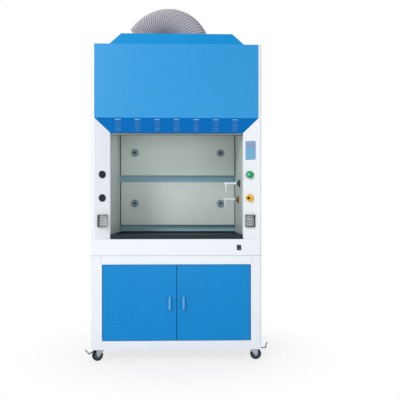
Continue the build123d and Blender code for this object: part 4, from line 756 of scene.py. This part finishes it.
def spun(name, outline, segments=40):
    """A turned form: an outline of (radius, height) pairs drawn point by point, then spun about z."""
    form = primitive("plane", name, size=0.001)
    bpy.ops.object.mode_set(mode="EDIT")
    bpy.ops.mesh.select_mode(type="VERT")
    bpy.ops.mesh.select_all(action="SELECT")
    bpy.ops.mesh.merge(type="CENTER")
    bpy.ops.transform.translate(value=(outline[0][0], 0, outline[0][1]))
    for (radius, height), (next_radius, next_height) in zip(outline, outline[1:]):
        step = {"value": (next_radius - radius, 0, next_height - height)}
        bpy.ops.mesh.extrude_vertices_move(TRANSFORM_OT_translate=step)
    bpy.ops.mesh.select_all(action="SELECT")
    bpy.ops.mesh.spin(steps=segments, angle=math.tau, center=(0, 0, 0), axis=(0, 0, 1))
    bpy.ops.mesh.select_all(action="SELECT")
    bpy.ops.mesh.remove_doubles(threshold=0.00005)
    bpy.ops.mesh.normals_make_consistent(inside=False)
    rest()
    return form


for y, z, flange_paint, index_paint, colour in tap_spots:
    wall = facing((OPENING_HALF, y, z), (-1, 0, 0))
    flange = spun(f"tap_flange_{colour}", [(0, 0), (0.031, 0), (0.031, 0.004), (0.026, 0.010),
                                           (0.015, 0.014), (0.013, 0.026), (0, 0.026)])
    flange.data.transform(wall)
    finish_piece(flange, "cabinet", flange_paint)
    pipe = spun(f"tap_pipe_{colour}", [(0.0, 0.024), (0.0122, 0.024), (0.0122, 0.034), (0.0108, 0.036),
                                       (0.0094, 0.037), (0.0092, 0.096), (0.0108, 0.098),
                                       (0.0108, 0.106), (0.0086, 0.1145), (0.0040, 0.1185),
                                       (0, 0.119)])
    pipe.data.transform(wall)
    nozzle = spun(f"tap_nozzle_{colour}", [(0, 0), (0.0082, 0.0), (0.0086, -0.006), (0.0086, -0.012),
                                           (0.0064, -0.014), (0.0072, -0.020), (0.0058, -0.022),
                                           (0.0066, -0.028), (0.0052, -0.030), (0.0060, -0.037),
                                           (0.0046, -0.039), (0.0046, -0.058), (0.0040, -0.0655),
                                           (0.0024, -0.0655), (0.0024, -0.040), (0, -0.040)])
    nozzle.data.transform(Matrix.Translation((OPENING_HALF - 0.1055, y, z)))
    finish_piece(join([pipe, nozzle]), "cabinet", TAP_WHITE)
    index = spun(f"tap_index_{colour}", [(0, 0.0265), (0.0098, 0.0265), (0.0110, 0.029),
                                         (0.0110, 0.033), (0.0102, 0.035), (0.0, 0.035)])
    index.data.transform(wall @ Matrix.Translation((0, 0.0, -0.002)))
    finish_piece(index, "cabinet", index_paint)
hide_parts("service_taps")


# Sash cables: strands from the leaf and from each weight, up and over the pulleys
def strand(name, x, y, low):
    """A laid wire cable between the pulley and what hangs on it."""
    turns = max(6, int((PULLEY_Z - low) / 0.02))
    rope = primitive("cylinder", name, vertices=10, radius=0.0012, depth=PULLEY_Z - low,
                     location=(x, y, (low + PULLEY_Z) / 2), end_fill_type="NGON")
    pick(rope, lambda f: abs(f.normal.z) < 0.5)
    bpy.ops.mesh.subdivide(number_cuts=turns)
    take(rope)
    bpy.ops.object.transform_apply(location=True)
    bpy.ops.object.shade_smooth_by_angle(angle=math.radians(60))
    rope.data.materials.append(CABLE)
    rest()
    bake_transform(rope)


CABLE_X = 0.500
LEAF_Y = -0.316
SHAFT_Y = -0.278
WEIGHT_Y = -0.240
PULLEY_Z = 2.150
PULLEY_RADIUS = 0.038
LEAF_TOP = 1.9985
WEIGHT_TOP = 1.3295
for side, word in ((-1, "left"), (1, "right")):
    strand(f"sash_strand_{word}", side * CABLE_X, LEAF_Y, LEAF_TOP)
    strand(f"weight_strand_{word}", side * CABLE_X, WEIGHT_Y, WEIGHT_TOP)
wrap = primitive("torus", "cable_wrap", major_radius=PULLEY_RADIUS, minor_radius=0.0012, major_segments=48,
                 minor_segments=10)
pick(wrap, lambda f: f.center.y < -0.0005)
bpy.ops.mesh.delete(type="FACE")
rest()
wrap_places = [facing((side * CABLE_X, SHAFT_Y, PULLEY_Z), (1, 0, 0)) for side in (-1, 1)]
wraps = copies(wrap, wrap_places, "cable_wraps")
finish_piece(wraps, "cabinet", CABLE, smooth=60, stands_for=("sash_cables",))


# Pan-head screws along the edges of the back and the sides
def screw_head():
    """A domed head with a cross recess."""
    high = 0.0022
    head = primitive("cylinder", "screw_head", vertices=20, radius=0.0042, depth=high,
                     location=(0, 0, high / 2))
    modify(head, "BEVEL", width=0.0011, segments=3, limit_method="ANGLE")
    for turn in (0, 90):
        blade = primitive("cube", "blade", size=1, location=(0, 0, high),
                          rotation=(0, 0, math.radians(turn)))
        blade.scale = (0.0050, 0.0009, 0.0022)
        take(blade)
        bpy.ops.object.transform_apply(location=True, rotation=True, scale=True)
        modify(head, "BOOLEAN", object=blade, operation="DIFFERENCE", solver="EXACT")
        bpy.data.objects.remove(blade)
    return head


SIDE_SCREW_Y = 0.375
EDGE_SCREW_X = 0.585
screw_places = []
for height in (0.15, 0.34, 0.53, 0.72, 0.79, 1.03, 1.27, 1.51, 1.75, 1.99, 2.20):
    for side in (-1, 1):
        screw_places.append(facing((side * EDGE_SCREW_X, BACK, height), (0, 1, 0)))
for x in (-0.36, -0.12, 0.12, 0.36):
    for height in (0.103, 0.722, 0.775, 2.222):
        screw_places.append(facing((x, BACK, height), (0, 1, 0)))
for side in (-1, 1):
    for height in (0.12, 0.42, 0.71, 0.79, 1.15, 1.50, 1.85, 2.20):
        screw_places.append(facing((side * HALF, SIDE_SCREW_Y, height), (side, 0, 0)))
skin_screws = copies(screw_head(), screw_places, "skin_screws")
finish_piece(skin_screws, "cabinet", STEEL, smooth=30)


# Duct clamp: a band round the cuff with its tightening screw
CLAMP_Z = 2.2525
BAND_RADIUS = 0.1207
BAND_INSIDE = 0.1195
band = spun("duct_clamp", [(BAND_INSIDE, -0.006), (BAND_RADIUS, -0.006), (BAND_RADIUS, 0.006),
                           (BAND_INSIDE, 0.006), (BAND_INSIDE, -0.006)], 64)
band.data.transform(Matrix.Translation((DUCT_X, 0, CLAMP_Z)))
finish_piece(band, "cabinet", STEEL, smooth=40)
housing = rounded_plate("clamp_housing", 0.020, 0.011, 0.006, 0.002)
barrel = primitive("cylinder", "clamp_screw", vertices=16, radius=0.0036, depth=0.030,
                   location=(0, 0, 0.008), rotation=(0, math.radians(90), 0))
take(barrel)
bpy.ops.object.transform_apply(location=True, rotation=True)
modify(barrel, "BEVEL", width=0.0008, segments=2, limit_method="ANGLE")
join([housing, barrel])
housing.data.transform(facing((DUCT_X, -BAND_RADIUS, CLAMP_Z), (0, -1, 0)))
finish_piece(housing, "cabinet", STEEL, smooth=40)


# Caster wheels: a pressed cap on each side and a grooved tread
HUB_GREY = moulded_plastic("hub_grey", srgb(66, 78, 86), 0.35)
CASTER_X = 0.536
CASTER_Y = 0.338
CASTER_TRAIL = 0.030
WHEEL_RADIUS = 0.039
corners = {"front_right": (CASTER_X, -CASTER_Y, 0.0), "front_left": (-CASTER_X, -CASTER_Y, 210.0),
           "rear_right": (CASTER_X, CASTER_Y, 30.0), "rear_left": (-CASTER_X, CASTER_Y, 180.0)}
for corner, (x, y, turn) in corners.items():
    upright = Matrix.Translation((x, y, 0)) @ Matrix.Rotation(math.radians(turn), 4, "Z")
    cap = spun("hub_cap", [(0.0046, 0.0), (0.0115, 0.0), (0.0122, 0.0005), (0.0240, -0.0030),
                           (0.0265, -0.0035), (0.0272, -0.0022), (0.0262, -0.0012),
                           (0.0235, -0.0008), (0.0125, 0.0013), (0.0060, 0.0013),
                           (0.0046, 0.0)], 40)
    places = [upright @ facing((CASTER_TRAIL, side * 0.0131, WHEEL_RADIUS), (0, side, 0))
              for side in (-1, 1)]
    hubs = copies(cap, places, f"hub_caps_{corner}")
    finish_piece(hubs, f"wheel_{corner}", HUB_GREY, smooth=40)
    tread = spun("tread", [(0.0378, -0.0105), (0.0388, -0.0085), (0.03925, -0.006),
                           (0.03925, -0.0052), (0.0388, -0.0048), (0.0388, -0.0042),
                           (0.03925, -0.0038), (0.03925, 0.0038), (0.0388, 0.0042),
                           (0.0388, 0.0048), (0.03925, 0.0052), (0.03925, 0.006),
                           (0.0388, 0.0085), (0.0378, 0.0105)], 64)
    modify(tread, "SOLIDIFY", thickness=0.0008, offset=-1)
    tread.data.transform(upright @ facing((CASTER_TRAIL, 0, WHEEL_RADIUS + 0.0004), (0, 1, 0)))
    finish_piece(tread, f"wheel_{corner}", TYRE, smooth=40)


# Switch marks: a bar and a ring on the rocker
MARK = moulded_plastic("pale_mark", srgb(226, 230, 234), 0.4)
ROCKER_TILT = math.radians(7)
ROCKER_PLACE = (0.440, -0.401, 0.8055)
ring_mark = primitive("torus", "off_mark", major_radius=0.0026, minor_radius=0.0004,
                      major_segments=24, minor_segments=6)
ring_mark.data.transform(facing((0, -0.0046, -0.0070), (0, -1, 0)))
bar_mark = rounded_plate("on_mark", 0.0011, 0.0052, 0.0004, 0.0004)
bar_mark.data.transform(facing((0, -0.0044, 0.0070), (0, -1, 0)))
join([ring_mark, bar_mark])
ring_mark.data.transform(Matrix.Translation(ROCKER_PLACE) @ Matrix.Rotation(ROCKER_TILT, 4, "X"))
finish_piece(ring_mark, "rocker", MARK, smooth=60)


# A rubber seal under the sash rail
RAIL_FOOT = 1.6090
seal = rounded_plate("sash_seal", 0.936, 0.012, 0.0007, 0.002)
seal.data.transform(facing((0, LEAF_Y, RAIL_FOOT), (0, 0, -1), (0, 1, 0)))
finish_piece(seal, "sash_lower", TYRE)


# Baffle knobs: a pale rim and a dark centre on each
KNOB_RIM = moulded_plastic("knob_rim", srgb(150, 170, 176), 0.3)
baffle_spots = [(side * 0.354, level) for side in (-1, 1) for level in (1.124, 1.541)]
rim = primitive("torus", "knob_rim", major_radius=0.0222, minor_radius=0.0019, major_segments=48,
                minor_segments=10)
rims = copies(rim, [facing((x, 0.2760, z), (0, -1, 0)) for x, z in baffle_spots], "knob_rims")
finish_piece(rims, "cabinet", KNOB_RIM, smooth=60)
hub = primitive("cylinder", "knob_hub", vertices=32, radius=0.0090, depth=0.0024)
modify(hub, "BEVEL", width=0.0008, segments=2, limit_method="ANGLE")
hubs = copies(hub, [facing((x, 0.2778, z), (0, -1, 0)) for x, z in baffle_spots], "knob_hubs")
finish_piece(hubs, "cabinet", BLACK)


# Joint lines: grey strips painted as the shade in the gaps of the seam under the apron and the body, and of
# two seams over the doors
# Joint line grey: painted shade of the narrow gaps between panels
JOINT_GAP_SHADE = moulded_plastic("joint_line", srgb(172, 177, 184), 0.6)
SEAM_Z = 0.748
SEAM_LINE = 0.0030
SEAM_PROUD = 0.0004


def seam(name, centre, size):
    """A thin flat strip, a little proud of the sheet, whose colour is painted shade standing in for the
    shadow in a gap.
    """
    strip = primitive("cube", name, size=1, location=centre)
    strip.scale = size
    bpy.ops.object.transform_apply(location=True, scale=True)
    return strip


seams = [seam("joint_lines", (0, side * BACK, SEAM_Z), (2 * HALF, 2 * SEAM_PROUD, SEAM_LINE))
         for side in (-1, 1)]
seams += [seam("joint_side", (side * HALF, 0, SEAM_Z), (2 * SEAM_PROUD, BACK - FRONT, SEAM_LINE))
          for side in (-1, 1)]
seams += [seam("joint_post", (side * 0.5315, FRONT, 0.7170), (SEAM_LINE * 0.8, 2 * SEAM_PROUD, 0.060))
          for side in (-1, 1)]
finish_piece(join(seams), "cabinet", JOINT_GAP_SHADE, smooth=0)


# Edge strips: dark strips down both sides of the baffles, painted shade of the gaps between the baffles and
# the lining
BAFFLE_GAP_SHADE = moulded_plastic("baffle_gap_shade", srgb(58, 64, 62), 0.6)
edges = [seam("baffle_edges", (side * 0.4715, 0.2885, middle), (0.0055, 0.0030, tall))
         for side in (-1, 1) for middle, tall in ((1.1225, 0.351), (1.5225, 0.335))]
finish_piece(join(edges), "cabinet", BAFFLE_GAP_SHADE, smooth=0)


# Studio: a pale floor, a soft key from the upper left and gentle fill
def area_light(name, place, target, size, power, depth=None):
    """A soft lamp aimed at a point."""
    data = bpy.data.lights.new(name, "AREA")
    data.shape = "RECTANGLE"
    data.size = size
    data.size_y = depth or size
    data.energy = power
    lamp = bpy.data.objects.new(name, data)
    bpy.context.scene.collection.objects.link(lamp)
    lamp.location = place
    aim = Vector(target) - Vector(place)
    lamp.rotation_euler = aim.to_track_quat("-Z", "Y").to_euler()
    return lamp


area_light("key", (-2.6, -4.6, 3.6), (0, 0, 1.2), 1.4, 126)
area_light("fill", (3.0, -4.6, 0.9), (0, 0, 0.8), 3.0, 40)
area_light("front", (-0.4, -5.6, 0.9), (0, 0, 0.8), 2.0, 26)
area_light("top", (0.2, 0.6, 5.0), (0, 0, 1.2), 3.0, 40)
area_light("back", (0.0, 4.4, 2.8), (0, 0, 1.2), 3.0, 50)
chamber_light = area_light("chamber", (0.0, -0.14, 1.645), (0, 0.10, 1.00), 0.7, 0.8, depth=0.06)
chamber_light.visible_camera = False

# How white the floor is made under the hood, and from where to where its shadow fades out
FLOOR_LIFT = 0.72
SHADOW_REACH = (0.5, 1.3)

world = bpy.data.worlds.new("studio")
bpy.context.scene.world = world
world.use_nodes = True
sky = world.node_tree
sky.nodes.clear()
room = node(sky, "ShaderNodeBackground", Color=(0.80, 0.82, 0.84, 1), Strength=0.46)
plain = node(sky, "ShaderNodeBackground", Color=(1, 1, 1, 1), Strength=1.0)
mixed = node(sky, "ShaderNodeMixShader", _0=direct_rays(sky), _1=room.outputs[0],
             _2=plain.outputs[0])
node(sky, "ShaderNodeOutputWorld", Surface=mixed.outputs[0])

floor = primitive("plane", "studio_floor", size=40, location=(0, 0, -0.0005))
floor_paint, floor_tree, floor_shader = blank_material("studio_floor")
floor_shader.inputs["Base Color"].default_value = srgb(250, 250, 250)
floor_shader.inputs["Roughness"].default_value = 0.9
floor_shader.inputs["Specular IOR Level"].default_value = 0.0
spread = node(floor_tree, "ShaderNodeVectorMath", {"operation": "LENGTH"},
              _0=node(floor_tree, "ShaderNodeTexCoord").outputs["Object"]).outputs["Value"]
whitened = maths(floor_tree, "MULTIPLY_ADD", ramp(floor_tree, spread, *SHADOW_REACH), 1 - FLOOR_LIFT)
whitened.node.inputs[2].default_value = FLOOR_LIFT
white_glow = node(floor_tree, "ShaderNodeEmission", Color=(1, 1, 1, 1), Strength=1.0)
lifted = maths(floor_tree, "MULTIPLY", direct_rays(floor_tree), whitened)
floor_mix = node(floor_tree, "ShaderNodeMixShader", _0=lifted, _1=floor_shader.outputs[0],
                 _2=white_glow.outputs[0])
floor_tree.links.new(floor_mix.outputs[0], floor_tree.nodes["Material Output"].inputs["Surface"])
floor.data.materials.append(floor_paint)
rest()
